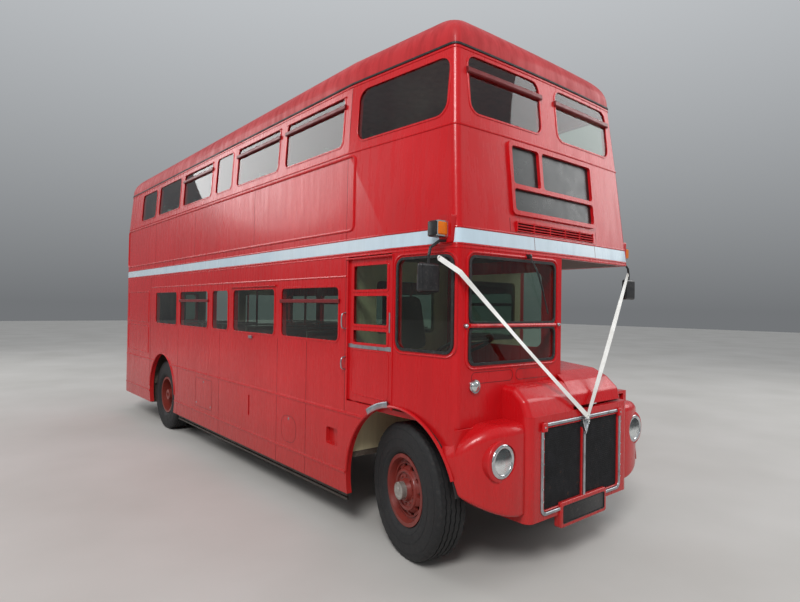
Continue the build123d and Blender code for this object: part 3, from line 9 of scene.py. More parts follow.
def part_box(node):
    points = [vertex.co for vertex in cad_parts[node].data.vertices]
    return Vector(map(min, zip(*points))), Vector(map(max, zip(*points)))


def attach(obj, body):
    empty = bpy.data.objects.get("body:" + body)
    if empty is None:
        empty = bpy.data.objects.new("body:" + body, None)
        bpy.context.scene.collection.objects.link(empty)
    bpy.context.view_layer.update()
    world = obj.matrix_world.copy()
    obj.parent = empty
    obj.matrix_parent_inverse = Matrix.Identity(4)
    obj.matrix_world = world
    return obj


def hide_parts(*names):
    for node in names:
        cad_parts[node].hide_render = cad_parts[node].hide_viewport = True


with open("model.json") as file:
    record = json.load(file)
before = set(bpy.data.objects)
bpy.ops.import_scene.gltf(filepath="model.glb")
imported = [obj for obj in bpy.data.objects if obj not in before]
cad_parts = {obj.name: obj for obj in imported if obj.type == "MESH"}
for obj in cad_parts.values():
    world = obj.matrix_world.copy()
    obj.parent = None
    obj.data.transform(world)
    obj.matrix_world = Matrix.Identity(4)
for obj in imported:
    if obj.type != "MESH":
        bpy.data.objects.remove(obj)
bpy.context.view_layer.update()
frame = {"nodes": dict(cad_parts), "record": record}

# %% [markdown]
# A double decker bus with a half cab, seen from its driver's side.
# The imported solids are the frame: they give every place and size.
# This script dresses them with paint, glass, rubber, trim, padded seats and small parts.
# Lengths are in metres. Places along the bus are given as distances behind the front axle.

nodes = frame["nodes"]

# %% [markdown]
# A coachbuilt body has flat sides that lean in above the waist, and bowed ends with rounded corners.
# Each wall could be traced as a curve, but as a function of two coordinates it gives any point and its
# outward normal. Trim is drawn on a wall in those coordinates and then stands a little proud of it.

# %% Wall surfaces in numbers
half_width = 1.215
front_axle_y = -3.698
front_foot_y = front_axle_y - 0.598
rear_foot_y = front_axle_y + 8.253
deck_z = 2.39
waist_z = 3.30
gutter_z = 3.915
roof_top_z = 4.38
front_bow = 26.0
rear_bow = 6.0
front_corner = 0.055
rear_corner = 0.43
few_points, more_points, side_points = 7, 9, 20
# Plan sizes at the deck, the waist and the gutter
levels = [deck_z, waist_z, gutter_z]
half_at = [half_width, 1.207, 1.165]
front_half_at = [1.170, 1.112, 1.058]
lean_start_at = [front_axle_y + 0.090, front_axle_y + 0.735, front_axle_y + 0.735]
front_at = [front_foot_y, front_axle_y - 0.505, front_axle_y - 0.440]
rear_at = [rear_foot_y, rear_foot_y - 0.012, rear_foot_y - 0.075]


def from_axle(y):
    """Place along the bus, given its distance behind the front axle."""
    return front_axle_y + y


def level(z, values):
    """Value that runs straight between its values at the deck, the waist and the gutter."""
    return np.interp(z, levels, values)


def with_normal(place, u, v, sign):
    """Points of a surface and its outward normals, from small steps in both directions."""
    u, v = np.broadcast_arrays(np.asarray(u, float), np.asarray(v, float))
    step = 0.002
    across = place(u + step, v) - place(u - step, v)
    up = place(u, v + step) - place(u, v - step)
    normal = np.cross(across, up) * sign
    return place(u, v), normal / np.linalg.norm(normal, axis=-1, keepdims=True)


def side_wall(side):
    """Side wall: (y, z) gives x, which leans in ahead of the lean line, and the outward normal."""

    def place(y, z):
        start, half = level(z, lean_start_at), level(z, half_at)
        lean = (half - level(z, front_half_at)) / (start - level(z, front_at))
        return np.stack([side * (half - lean * np.maximum(start - y, 0)), y, z], -1)

    def surface(y, z):
        return with_normal(place, y, z, side)

    return surface


def end_wall(sign, apex_at, bow):
    """Bowed end wall: (x, z) gives y on a circle of radius bow, and the outward normal."""

    def place(x, z):
        return np.stack([x, level(z, apex_at) - sign * (bow - np.sqrt(bow**2 - x**2)), z], -1)

    def surface(x, z):
        return with_normal(place, x, z, -sign)

    return surface


offside = side_wall(-1)
nearside = side_wall(1)
front = end_wall(-1, front_at, front_bow)
rear = end_wall(1, rear_at, rear_bow)


def arc(centre, radius, start, end, count):
    """Points of a circular arc between two angles."""
    turn = np.linspace(start, end, count)
    return np.stack([centre[0] + radius * np.cos(turn), centre[1] + radius * np.sin(turn)], -1)


def plan_outline(half, lean, lean_start, apex, rear_apex, turn_f, turn_r):
    """Level outline of the body from the rear centre round the offside to the front and back again.

    The front corner touches the leaning side and the bow; the rear corner touches the side and its bow."""
    run = math.hypot(1.0, lean)
    along, inward = np.array([-lean, -1.0]) / run, np.array([-1.0, lean]) / run
    bow = np.array([0.0, apex + front_bow])
    begin = np.array([half, lean_start]) + inward * turn_f - bow
    back = begin @ along
    reach = math.sqrt(back * back - begin @ begin + (front_bow - turn_f) ** 2) - back
    centre = bow + begin + along * reach
    out = (centre - bow) / np.linalg.norm(centre - bow)
    corner = arc(centre, turn_f, math.atan2(*-inward[::-1]), math.atan2(*out[::-1]), few_points)
    bowed = arc(bow, front_bow, math.atan2(*out[::-1]), -math.pi / 2, more_points)[1:]
    tail_lean = math.asin((half - turn_r) / (rear_bow - turn_r))
    tail_bow = np.array([0.0, rear_apex - rear_bow])
    tail = np.array([half - turn_r, tail_bow[1] + (rear_bow - turn_r) * math.cos(tail_lean)])
    tail_corner = arc(tail, turn_r, math.pi / 2 - tail_lean, 0.0, more_points)
    tail_bowed = arc(tail_bow, rear_bow, math.pi / 2, math.pi / 2 - tail_lean, few_points)[:-1]
    straight = np.linspace(tail_corner[-1], [half, lean_start], side_points)[1:]
    leaning = np.linspace([half, lean_start], corner[0], 8)[1:-1]
    side = np.concatenate([tail_bowed, tail_corner, straight, leaning, corner, bowed])
    mirrored = side[::-1][1:-1] * [-1, 1]
    return np.concatenate([side, mirrored])


def body_outline(z, proud=0.0):
    """Plan outline of the body at height z, standing proud of the wall."""
    half, lean_start, apex, tail = (level(z, values) for values in (half_at, lean_start_at, front_at, rear_at))
    lean = (half - level(z, front_half_at)) / (lean_start - apex)
    return plan_outline(half + proud, lean, lean_start, apex - proud, tail + proud, front_corner + proud,
                        rear_corner + proud)


# %% [markdown]
# A mesh made by numpy needs only its points and quads. Many small like parts go into one mesh as a batch,
# because thousands of separate objects would be slow. Each piece then rides on a body of the bus.

# %% Mesh helpers
shapes = {}
foot_sink = 0.004
dome_sink = 0.0005
upright_limit = 0.9
tiny = 1e-6


def mesh_piece(name, points, faces, finish, ride="bus_body", smooth=35.0):
    """Object from an (n, 3) array of points and a list of faces, in the bus's frame."""
    mesh = bpy.data.meshes.new(name)
    mesh.from_pydata(np.asarray(points, float).reshape(-1, 3).tolist(), [], [list(map(int, f)) for f in faces])
    mesh.validate()
    piece = bpy.data.objects.new(name, mesh)
    bpy.context.scene.collection.objects.link(piece)
    piece.data.materials.append(finish)
    mesh.polygons.foreach_set("use_smooth", np.ones(len(mesh.polygons), bool))
    mesh.set_sharp_from_angle(angle=math.radians(smooth))
    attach(piece, ride)
    shapes[name] = len(mesh.polygons)
    print(name, "faces", shapes[name])
    return piece


def grid_faces(rows, columns, close_rows=False, close_columns=False, start=0):
    """Quads of a grid of points, wrapped round where it is closed."""
    r = np.arange(rows if close_rows else rows - 1)
    c = np.arange(columns if close_columns else columns - 1)
    r, c = np.meshgrid(r, c, indexing="ij")
    r1, c1 = (r + 1) % rows, (c + 1) % columns
    quads = np.stack([r * columns + c, r * columns + c1, r1 * columns + c1, r1 * columns + c], -1)
    return quads.reshape(-1, 4) + start


class Batch:
    """Points and faces of many like shapes, gathered into one mesh."""

    def __init__(self):
        self.points = []
        self.faces = []
        self.count = 0

    def add(self, points, faces):
        """Add one shape."""
        points = np.asarray(points, float).reshape(-1, 3)
        self.points.append(points)
        self.faces.extend((np.asarray(f) + self.count) for f in faces)
        self.count += len(points)

    def piece(self, name, finish, **options):
        """Make the gathered shapes one object."""
        return mesh_piece(name, np.concatenate(self.points), self.faces, finish, **options)


# %% [markdown]
# Beads, gaskets and drip rails are rolled or extruded strips, so each is a section carried along a path.
# A swept grid keeps the section true on a leaning wall, which a bevelled curve would tilt.

# %% Sections and sweeps


def at_height(plan, z):
    """Points of a plan outline, all at height z."""
    return np.column_stack([plan, np.full(len(plan), z)])


def rounded(u0, u1, v0, v1, radius, steps=6):
    """Closed rounded rectangle as (n, 2) points: four quarter circles joined by straight runs."""
    turn = np.linspace(0, np.pi / 2, steps)
    centres = [(u1 - radius, v1 - radius), (u0 + radius, v1 - radius), (u0 + radius, v0 + radius),
               (u1 - radius, v0 + radius)]
    corners = []
    for k, (cu, cv) in enumerate(centres):
        angle = turn + k * np.pi / 2
        corners.append(np.stack([cu + radius * np.cos(angle), cv + radius * np.sin(angle)], -1))
    return np.concatenate(corners)


def spread(path, spacing, closed=True):
    """Path with extra points so that no step is longer than spacing."""
    path = np.asarray(path, float)
    out = []
    for a, b in zip(path, np.roll(path, -1, axis=0) if closed else path[1:]):
        count = max(1, int(np.ceil(np.linalg.norm(b - a) / spacing)))
        out.append(a + (b - a) * (np.arange(count) / count)[:, None])
    return np.concatenate(out if closed else out + [path[-1:]])


def half_round(width, height, steps=5):
    """Section of a bead: (across, out) points on half an ellipse, with its foot sunk a little."""
    turn = np.linspace(0, np.pi, steps)
    bow = np.stack([np.cos(turn) * width / 2, np.sin(turn) * height], -1)
    return np.concatenate([[[width / 2, -foot_sink]], bow, [[-width / 2, -foot_sink]]])


def bar_section(width, height, ease=0.0015):
    """Section of a flat bar: (across, out) points with eased outer edges."""
    w, h, e = width / 2, height, min(ease, height / 2)
    return np.array([[w, -foot_sink], [w, h - e], [w - e, h], [-w + e, h], [-w, h - e], [-w, -foot_sink]])


def sweep(points, normals, section, closed):
    """Carry an (across, out) section along 3D points; across is tangent x normal."""
    points, normals, section = (np.asarray(v, float) for v in (points, normals, section))
    if closed:
        tangent = np.roll(points, -1, 0) - np.roll(points, 1, 0)
    else:
        tangent = np.gradient(points, axis=0)
    tangent /= np.linalg.norm(tangent, axis=1, keepdims=True)
    across = np.cross(tangent, normals)
    across /= np.linalg.norm(across, axis=1, keepdims=True)
    grid = points[:, None] + across[:, None] * section[None, :, :1] + normals[:, None] * section[None, :, 1:]
    count, width = grid.shape[:2]
    faces = list(grid_faces(count, width, close_rows=closed, close_columns=True))
    if not closed:
        faces.append(np.arange(width))
        faces.append(np.arange(width)[::-1] + (count - 1) * width)
    return grid.reshape(-1, 3), faces


def trim(batch, surface, path, section, closed=True, spacing=0.25):
    """Add trim along a path of (u, v) points on a wall surface."""
    path = spread(path, spacing, closed)
    batch.add(*sweep(*surface(path[:, 0], path[:, 1]), section, closed))


def line(batch, surface, start, end, section):
    """Add straight trim between two (u, v) points on a wall surface."""
    trim(batch, surface, [start, end], section, closed=False)


# %% [markdown]
# Rivet heads are low domes, lamp rims and hub caps are turned on a lathe, and rails are bent tube.
# Domes and turned shapes are rings about one axis and share the two directions across it; a tube carries its
# own directions along its path, so it doesn't twist.

# %% Domes, turned shapes and tubes


def across_axis(axis):
    """Two unit vectors across each unit axis, which may be one vector or rows of them."""
    helper = np.where(np.abs(axis[..., 2:]) < upright_limit, [0, 0, 1.0], [1.0, 0, 0])
    u = np.cross(helper, axis)
    u /= np.linalg.norm(u, axis=-1, keepdims=True)
    return u, np.cross(axis, u)


def domes(batch, points, normals, radius, height, around=8, rings=2):
    """Add low domes, such as rivet heads: each ring's radius is r cos(lift) and its height h sin(lift)."""
    points, normals = (np.asarray(v, float).reshape(-1, 3) for v in (points, normals))
    u, v = across_axis(normals)
    lift = np.linspace(0, np.pi / 2, rings + 1)[:-1]
    turn = np.arange(around) * 2 * np.pi / around
    ring_u = np.outer(np.cos(lift), np.cos(turn)).ravel() * radius
    ring_v = np.outer(np.cos(lift), np.sin(turn)).ravel() * radius
    ring_h = np.repeat(np.sin(lift) * height - dome_sink, around)
    ring = points[:, None] + (u[:, None] * ring_u[:, None] + v[:, None] * ring_v[:, None]
                              + normals[:, None] * ring_h[:, None])
    top = points[:, None] + normals[:, None] * height
    size = rings * around + 1
    faces = [tuple(f) for f in grid_faces(rings, around, close_columns=True)]
    last = (rings - 1) * around
    faces += [(last + k, last + (k + 1) % around, size - 1) for k in range(around)]
    faces.append(tuple(range(around))[::-1])
    for one in np.concatenate([ring, top], axis=1):
        batch.add(one, [np.array(f) for f in faces])


def turned(profile, axis_point, axis, around=48, closed=False):
    """Surface of revolution: each (along, radius) point becomes axis * along + radius * (u cos + v sin)."""
    profile = np.asarray(profile, float)
    axis = np.asarray(axis, float) / np.linalg.norm(axis)
    u, v = across_axis(axis)
    turn = np.arange(around) * 2 * np.pi / around
    ring = np.cos(turn)[:, None] * u + np.sin(turn)[:, None] * v
    grid = np.asarray(axis_point) + profile[:, None, :1] * axis + profile[:, None, 1:] * ring
    faces = list(grid_faces(len(profile), around, close_rows=closed, close_columns=True))
    if not closed and profile[0, 1] > tiny:
        faces.append(np.arange(around)[::-1])
    if not closed and profile[-1, 1] > tiny:
        faces.append(np.arange(around) + (len(profile) - 1) * around)
    return grid.reshape(-1, 3), faces


def tube(points, radius, around=10):
    """Round bar along 3D points, with a frame that doesn't twist."""
    points = np.asarray(points, float)
    tangent = np.gradient(points, axis=0)
    tangent /= np.linalg.norm(tangent, axis=1, keepdims=True)
    helper = [0, 0, 1.0] if abs(tangent[0, 2]) < upright_limit else [1.0, 0, 0]
    normal = np.cross(tangent[0], helper)
    normals = []
    for t in tangent:
        normal = normal - t * normal.dot(t)
        normal /= np.linalg.norm(normal)
        normals.append(normal.copy())
    turn = np.arange(around) * 2 * np.pi / around
    section = np.stack([np.cos(turn), np.sin(turn)], -1) * radius
    return sweep(points, np.array(normals), section, False)


# %% [markdown]
# Bent handles pass smoothly through a few points. Plates and housings are blocks, and their eased edges catch
# the light as real ones do; a block's ease is part of its rings, so no bevel modifier is needed.

# %% Smooth paths and blocks


def smooth_path(points, count=24):
    """Catmull-Rom curve through the points, sampled evenly in its parameter."""
    points = np.asarray(points, float)
    padded = np.vstack([2 * points[0] - points[1], points, 2 * points[-1] - points[-2]])
    out = []
    for k in range(len(points) - 1):
        a, b, c, d = padded[k:k + 4]
        t = np.linspace(0, 1, count, endpoint=False)[:, None]
        out.append(0.5 * (2 * b + (c - a) * t + (2 * a - 5 * b + 4 * c - d) * t**2
                          + (3 * b - a - 3 * c + d) * t**3))
    return np.concatenate(out + [points[-1:]])


def block(x0, x1, y0, y1, z0, z1, ease=0.004):
    """Block with eased edges: an eased rectangle in plan, carried up with its ends pulled in."""
    plan = rounded(x0, x1, y0, y1, max(ease, 0.0005), 3)
    centre = np.array([(x0 + x1) / 2, (y0 + y1) / 2])
    inner = centre + (plan - centre) * (1 - ease / np.maximum(np.abs(plan - centre).max(0), tiny))
    rings = [(inner, z0), (plan, z0 + ease), (plan, z1 - ease), (inner, z1)]
    grid = np.array([at_height(ring, z) for ring, z in rings])
    faces = list(grid_faces(4, len(plan), close_columns=True))
    faces.append(np.arange(len(plan))[::-1])
    faces.append(np.arange(len(plan)) + 3 * len(plan))
    return grid.reshape(-1, 3), faces


def side_block(side, near, far, *rest):
    """Block between two distances from the middle plane, on the given side of the bus."""
    return block(*sorted((side * near, side * far)), *rest)


# %% [markdown]
# The camera stands where the photograph was taken: low, close, off the driver's side front corner.
# It could be set by eye, but its place and turn were fitted to known corners of the body, so that edges fall
# where they do in the photograph. The picture is 800 by 602.

# %% Camera
camera_turn = math.radians(-39.8427)
camera_rise = math.radians(-0.5724)
camera_roll = math.radians(0.8182)
camera_place = (-3.9656, -7.0017, 1.9694)
focal_pixels = 559.124
picture_width = 800
sensor_width = 36.0

forward = Vector((-math.sin(camera_turn) * math.cos(camera_rise),
                  math.cos(camera_turn) * math.cos(camera_rise), -math.sin(camera_rise)))
level_right = forward.cross(Vector((0, 0, 1))).normalized()
level_up = level_right.cross(forward)
right = level_right * math.cos(camera_roll) + level_up * math.sin(camera_roll)
up = level_up * math.cos(camera_roll) - level_right * math.sin(camera_roll)
camera_data = bpy.data.cameras.new("photo_camera")
camera_data.sensor_width = sensor_width
camera_data.lens = focal_pixels * sensor_width / picture_width
camera_data.clip_start = 0.05
camera_data.clip_end = 200.0
camera = bpy.data.objects.new("photo_camera", camera_data)
camera.matrix_world = Matrix((right, up, -forward)).transposed().to_4x4()
camera.location = camera_place
bpy.context.scene.collection.objects.link(camera)
bpy.context.scene.camera = camera
print("lens in mm", round(camera_data.lens, 2))

# %% [markdown]
# Materials are all procedural and work in Object coordinates, which are metres in the bus's frame.
# Noise of scale s has lumps about 1/s metres across. One function adds any node, so a material reads as a list
# of steps. Colours are sRGB hex texts, as a paint chart gives them, and one function makes them linear.

# %% Material helpers
materials = {}


def colour(text):
    """Linear colour from an sRGB hex text."""
    values = np.array([int(text[k:k + 2], 16) for k in (0, 2, 4)]) / 255
    linear = np.where(values <= 0.04045, values / 12.92, ((values + 0.055) / 1.055) ** 2.4)
    return (*linear.tolist(), 1.0)


def wire(tree, node, links=None, values=None):
    """Set a shader node's values and link its inputs; a node given as a source stands for its first output."""
    for key, value in (values or {}).items():
        node.inputs[key].default_value = value
    for key, source in (links or {}).items():
        tree.links.new(source.outputs[0] if isinstance(source, bpy.types.Node) else source, node.inputs[key])


def add(tree, kind, links=None, values=None, stops=(), **settings):
    """Add a shader node with its settings, values and links; stops are (place, colour) pairs of a colour ramp."""
    node = tree.nodes.new("ShaderNode" + kind)
    for key, value in settings.items():
        setattr(node, key, value)
    for k, (position, tone) in enumerate(stops):
        node.color_ramp.elements[k].position = position
        node.color_ramp.elements[k].color = tone
    wire(tree, node, links, values)
    return node


def start(name, slot):
    """New material with its tree, its coordinates in metres and its main shader."""
    made = bpy.data.materials.new(name)
    made.use_nodes = True
    made["record_slot"] = slot
    materials[name] = made
    tree = made.node_tree
    shader = tree.nodes["Principled BSDF"]
    place = add(tree, "TexCoord").outputs["Object"]
    return made, tree, shader, place


grey = colour("808080")
white = colour("FFFFFF")
black = colour("000000")


print("grey in linear light", np.round(grey, 3).tolist())

# %% [markdown]
# The real panels are aluminium, brushed with enamel and varnished, so the gloss is uneven rather than sprayed.
# A flat colour with one roughness would look like plastic. Here slow noise fades the colour in clouds, noise
# stretched down the wall gives rain streaks, and the lowest metre carries road dirt.

# %% Worn paint


def worn_paint(name, slot, main, faded, dirt, roughness, coat, grime=1.0, streaks=1.0, peel=0.04):
    """Brushed coach paint: cloudy fading, rain streaks down the panels, road dirt low down and small chips."""
    main, faded, dirt = (colour(tone) for tone in (main, faded, dirt))
    made, tree, shader, place = start(name, slot)
    stretched = add(tree, "Mapping", {"Vector": place}, {"Scale": (2.2, 2.2, 0.22)})
    cloud = add(tree, "TexNoise", {"Vector": place}, {"Scale": 0.9, "Detail": 6.0, "Roughness": 0.6})
    streak = add(tree, "TexNoise", {"Vector": stretched}, {"Scale": 6.0, "Detail": 5.0, "Roughness": 0.65})
    speck = add(tree, "TexNoise", {"Vector": place}, {"Scale": 55.0, "Detail": 4.0, "Roughness": 0.7})
    fine = add(tree, "TexNoise", {"Vector": place}, {"Scale": 420.0, "Detail": 3.0, "Roughness": 0.6})
    fade = add(tree, "ValToRGB", {"Fac": cloud}, stops=((0.38, main), (0.68, faded)))
    run = add(tree, "ValToRGB", {"Fac": streak}, stops=((0.40, white), (0.75, grey)))
    streaked = add(tree, "MixRGB", {"Color1": fade, "Color2": run}, {"Fac": 0.30 * streaks}, blend_type="MULTIPLY")
    height = add(tree, "SeparateXYZ", {"Vector": place}).outputs["Z"]
    low = add(tree, "MapRange", {"Value": height}, {"From Min": 1.25, "From Max": 0.3, "To Max": 0.62 * grime})
    splash = add(tree, "Math", {0: low, 1: speck}, operation="MULTIPLY")
    soiled = add(tree, "MixRGB", {"Fac": splash, "Color1": streaked}, {"Color2": dirt})
    chip = add(tree, "ValToRGB", {"Fac": speck}, stops=((0.745, black), (0.765, white)))
    chipped = add(tree, "MixRGB", {"Fac": chip, "Color1": soiled}, {"Color2": dirt})
    gloss = add(tree, "MapRange", {"Value": streak},
                {"From Min": 0.3, "From Max": 0.75, "To Min": roughness * 0.75, "To Max": roughness * 1.4})
    brushed = add(tree, "Math", {0: cloud, 1: fine}, operation="MULTIPLY")
    bump = add(tree, "Bump", {"Height": brushed}, {"Strength": peel, "Distance": 0.004})
    wire(tree, shader, {"Base Color": chipped, "Roughness": gloss, "Normal": bump},
         {"Coat Weight": coat, "Coat Roughness": 0.10, "Specular IOR Level": 0.32})
    return made


# %% [markdown]
# Rolled, plated and cast metal all show a grain, dull patches and, on the chassis, rust. One function serves
# them all, because they differ only in colour, roughness and how much rust comes through. Where rust lies the
# surface is no longer a metal, so the same mask takes the metallic value down.

# %% Worn metal


def worn_metal(name, slot, bright, dull, roughness, grain=(1.0, 1.0, 1.0), metallic=1.0, spots=0.0, spot="5A3A24"):
    """Bare or plated metal: brushed grain, dull patches and spots of corrosion."""
    made, tree, shader, place = start(name, slot)
    stretched = add(tree, "Mapping", {"Vector": place}, {"Scale": grain})
    brushed = add(tree, "TexNoise", {"Vector": stretched}, {"Scale": 160.0, "Detail": 5.0, "Roughness": 0.7})
    patch = add(tree, "TexNoise", {"Vector": place}, {"Scale": 14.0, "Detail": 5.0, "Roughness": 0.62})
    pit = add(tree, "TexVoronoi", {"Vector": place}, {"Scale": 190.0})
    base = add(tree, "ValToRGB", {"Fac": patch}, stops=((0.36, colour(bright)), (0.66, colour(dull))))
    rust = add(tree, "ValToRGB", {"Fac": patch}, stops=((0.66 - spots * 0.2, black), (0.72, white)))
    spotted = add(tree, "MixRGB", {"Fac": rust, "Color1": base}, {"Color2": colour(spot)})
    gloss = add(tree, "MapRange", {"Value": brushed},
                {"From Min": 0.3, "From Max": 0.7, "To Min": roughness * 0.7, "To Max": roughness * 1.35})
    rough = add(tree, "Math", {0: brushed, 1: pit}, operation="ADD")
    bump = add(tree, "Bump", {"Height": rough}, {"Strength": 0.12, "Distance": 0.0008})
    hidden = add(tree, "Math", {0: rust}, {1: metallic}, operation="MULTIPLY")
    left = add(tree, "Math", {1: hidden}, {0: metallic}, operation="SUBTRACT")
    wire(tree, shader, {"Base Color": spotted, "Metallic": left, "Roughness": gloss, "Normal": bump})
    return made


# %% [markdown]
# Rubber, leathercloth and moulded plastic are dull skins that bloom grey and hold dust in their grain.
# Noise in three sizes gives the bloom, the dust and the grain, about 110, 17 and 3 mm across.

# %% Dull plastic and rubber


def dull_plastic(name, slot, main, worn, roughness, dust="8A857C", dusty=0.5):
    """Rubber or moulded plastic: bloomed skin, dust in patches and a fine grain."""
    made, tree, shader, place = start(name, slot)
    bloom = add(tree, "TexNoise", {"Vector": place}, {"Scale": 9.0, "Detail": 6.0, "Roughness": 0.62})
    grain = add(tree, "TexNoise", {"Vector": place}, {"Scale": 380.0, "Detail": 3.0})
    scuff = add(tree, "TexNoise", {"Vector": place}, {"Scale": 60.0, "Detail": 4.0, "Distortion": 1.2})
    base = add(tree, "ValToRGB", {"Fac": bloom}, stops=((0.35, colour(main)), (0.7, colour(worn))))
    dull = add(tree, "ValToRGB", {"Fac": scuff}, stops=((0.56, black), (0.74, (dusty,) * 3 + (1.0,))))
    dusted = add(tree, "MixRGB", {"Fac": dull, "Color1": base}, {"Color2": colour(dust)})
    gloss = add(tree, "MapRange", {"Value": bloom},
                {"From Min": 0.3, "From Max": 0.7, "To Min": roughness * 0.8, "To Max": min(1.0, roughness * 1.25)})
    bump = add(tree, "Bump", {"Height": grain}, {"Strength": 0.2, "Distance": 0.0006})
    wire(tree, shader, {"Base Color": dusted, "Roughness": gloss, "Normal": bump})
    return made


# %% [markdown]
# Window glass is toughened sheet, a few millimetres thick and slightly green. Full refraction is slow and goes
# dark in a closed body, so a pane is treated as thin: it lets tinted light straight through and reflects by
# Fresnel. The Fresnel share is taken only on the near face, since a back face would mirror everything.

# %% Window pane


def pane(name, slot, tint, gloss, dust="A8A498", dusty=0.012):
    """Thin glass: tinted light goes through, the near face reflects the rest, and dust lies in patches."""
    made, tree, shader, place = start(name, slot)
    smear = add(tree, "TexNoise", {"Vector": place}, {"Scale": 2.2, "Detail": 3.0, "Roughness": 0.5})
    wave = add(tree, "TexNoise", {"Vector": place}, {"Scale": 0.9, "Detail": 0.0})
    bump = add(tree, "Bump", {"Height": wave}, {"Strength": 0.02, "Distance": 0.01})
    through = add(tree, "BsdfTransparent", {}, {"Color": colour(tint)})
    shine = add(tree, "BsdfGlossy", {"Normal": bump}, {"Roughness": gloss})
    facing = add(tree, "Fresnel", {"Normal": bump}, {"IOR": 1.55})
    behind = add(tree, "NewGeometry").outputs["Backfacing"]
    ahead = add(tree, "Math", {1: behind}, {0: 1.0}, operation="SUBTRACT")
    mirrored = add(tree, "Math", {0: facing, 1: ahead}, operation="MULTIPLY")
    clear = add(tree, "MixShader", {0: mirrored, 1: through, 2: shine})
    film = add(tree, "BsdfDiffuse", {}, {"Color": colour(dust)})
    amount = add(tree, "ValToRGB", {"Fac": smear}, stops=((0.42, black), (0.78, (dusty * 2,) * 3 + (1.0,))))
    dusted = add(tree, "MixShader", {0: amount, 1: clear, 2: film})
    wire(tree, tree.nodes["Material Output"], {"Surface": dusted})
    tree.nodes.remove(shader)
    return made


# %% [markdown]
# A headlamp's glass is pressed with upright flutes that spread the beam. Its bowl throws the sky into the lower
# half, so the glass looks bright below and dark above. A ramp on height, shifted a little by noise, gives that
# without modelling the bowl's reflection.

# %% Fluted glass


def fluted_glass(name, slot, sky_tone, road_tone):
    """Headlamp glass over its bowl: vertical flutes, and a painted reflection of the bowl, bright below and dark
    above.
    """
    made, tree, shader, place = start(name, slot)
    wave = add(tree, "TexWave", {"Vector": place}, {"Scale": 34.0, "Distortion": 0.0}, bands_direction="X")
    uneven = add(tree, "TexNoise", {"Vector": place}, {"Scale": 30.0, "Detail": 4.0})
    height = add(tree, "SeparateXYZ", {"Vector": place}).outputs["Z"]
    shifted = add(tree, "Math", {0: uneven, 2: height}, {1: 0.03}, operation="MULTIPLY_ADD")
    share = add(tree, "MapRange", {"Value": shifted}, {"From Min": 0.86, "From Max": 0.99})
    # Painted reflection: the sky's tone low on the glass, the road's high up.
    tone = add(tree, "ValToRGB", {"Fac": share}, stops=((0.30, colour(sky_tone)), (0.62, colour(road_tone))))
    bump = add(tree, "Bump", {"Height": wave.outputs["Fac"]}, {"Strength": 0.5, "Distance": 0.003})
    wire(tree, shader, {"Base Color": tone, "Normal": bump}, {"Metallic": 0.8, "Roughness": 0.10})
    return made


# %% [markdown]
# Seat moquette is a woven pile cloth with a small figure, made to hide wear. A checker turned askew, with dots
# between, gives the figure at about 45 mm, and a fine cell pattern gives the pile. The pile's threads are about
# 2.4 mm apart here, coarser than the real ones, so that they show.

# %% Moquette


def moquette(name, slot, ground, figure, thread):
    """Woven pile cloth: a small geometric figure on a dark ground, with thread grain and worn places."""
    ground, figure, thread = (colour(tone) for tone in (ground, figure, thread))
    made, tree, shader, place = start(name, slot)
    askew = add(tree, "Mapping", {"Vector": place}, {"Rotation": (0.6, 0.5, math.radians(45))})
    check = add(tree, "TexChecker", {"Vector": askew}, {"Scale": 22.0, "Color1": ground, "Color2": figure})
    weave = add(tree, "TexVoronoi", {"Vector": place}, {"Scale": 420.0})
    wear = add(tree, "TexNoise", {"Vector": place}, {"Scale": 7.0, "Detail": 5.0})
    dots = add(tree, "TexVoronoi", {"Vector": askew}, {"Scale": 44.0})
    spot = add(tree, "ValToRGB", {"Fac": dots}, stops=((0.12, white), (0.2, black)))
    spotted = add(tree, "MixRGB", {"Fac": spot, "Color1": check}, {"Color2": thread})
    faded = add(tree, "MixRGB", {"Fac": wear, "Color1": spotted}, {"Color2": ground})
    bump = add(tree, "Bump", {"Height": weave}, {"Strength": 0.4, "Distance": 0.001})
    wire(tree, shader, {"Base Color": faded, "Normal": bump}, {"Roughness": 0.85, "Sheen Weight": 0.4})
    return made


# %% [markdown]
# Each finish is named for what it is on the real vehicle, and its comment says what that gives the eye.
# The body has enamel, aluminium trim, chromium plate, rubber and glass.

# %% Body finishes
# Brushed and varnished coach enamel on aluminium panels, sun-faded and streaked by rain.
red = worn_paint("faded_red_coach_enamel", "red_panels", "BE0C14", "CA161E", "5E4036", 0.27, 0.12, streaks=0.35)
# The roof's enamel, chalked by the sun.
roof_red = worn_paint("chalked_roof_enamel", "roof_paint", "B40E16", "C02A2E", "5E4036",
                      0.5, 0.08, grime=0.0, streaks=1.3)
# Pale blue-white enamel of the band between the decks.
pale = worn_paint("pale_band_enamel", "red_panels", "C3D6E2", "D5E2EA", "8C8478", 0.3, 0.3, grime=0.0, streaks=0.5)
# Red enamel darkened as painted shade, for the ventilator ledges and the panel joints, which stand for shaded
# channels and grooves.
red_painted_shade = worn_paint("red_enamel_painted_shade", "red_panels", "6A070C", "7C1016", "3E1E1A", 0.4, 0.15, grime=0.0)
# Cream gloss enamel on the lining panels, bulkheads and stairs.
cream = worn_paint("cream_lining_enamel", "lining_paint", "CFC3A0", "C2B48E", "8B7A5C", 0.35, 0.2, grime=0.0)
# Ribbed composition floor covering, worn grey-brown.
deck = dull_plastic("ribbed_composition_floor", "deck_floor", "4A3F36", "5E5248", 0.7)
# Anodised aluminium tube and angle, weathered matt.
aluminium = worn_metal("weathered_aluminium_trim", "bright_aluminium", "B9BDC2", "9A9EA3", 0.34, (1.0, 1.0, 6.0))
# Chromium plate on lamp rims and small fittings.
chrome = worn_metal("chromium_plate", "bright_aluminium", "D6D8DA", "B4B7BA", 0.12)
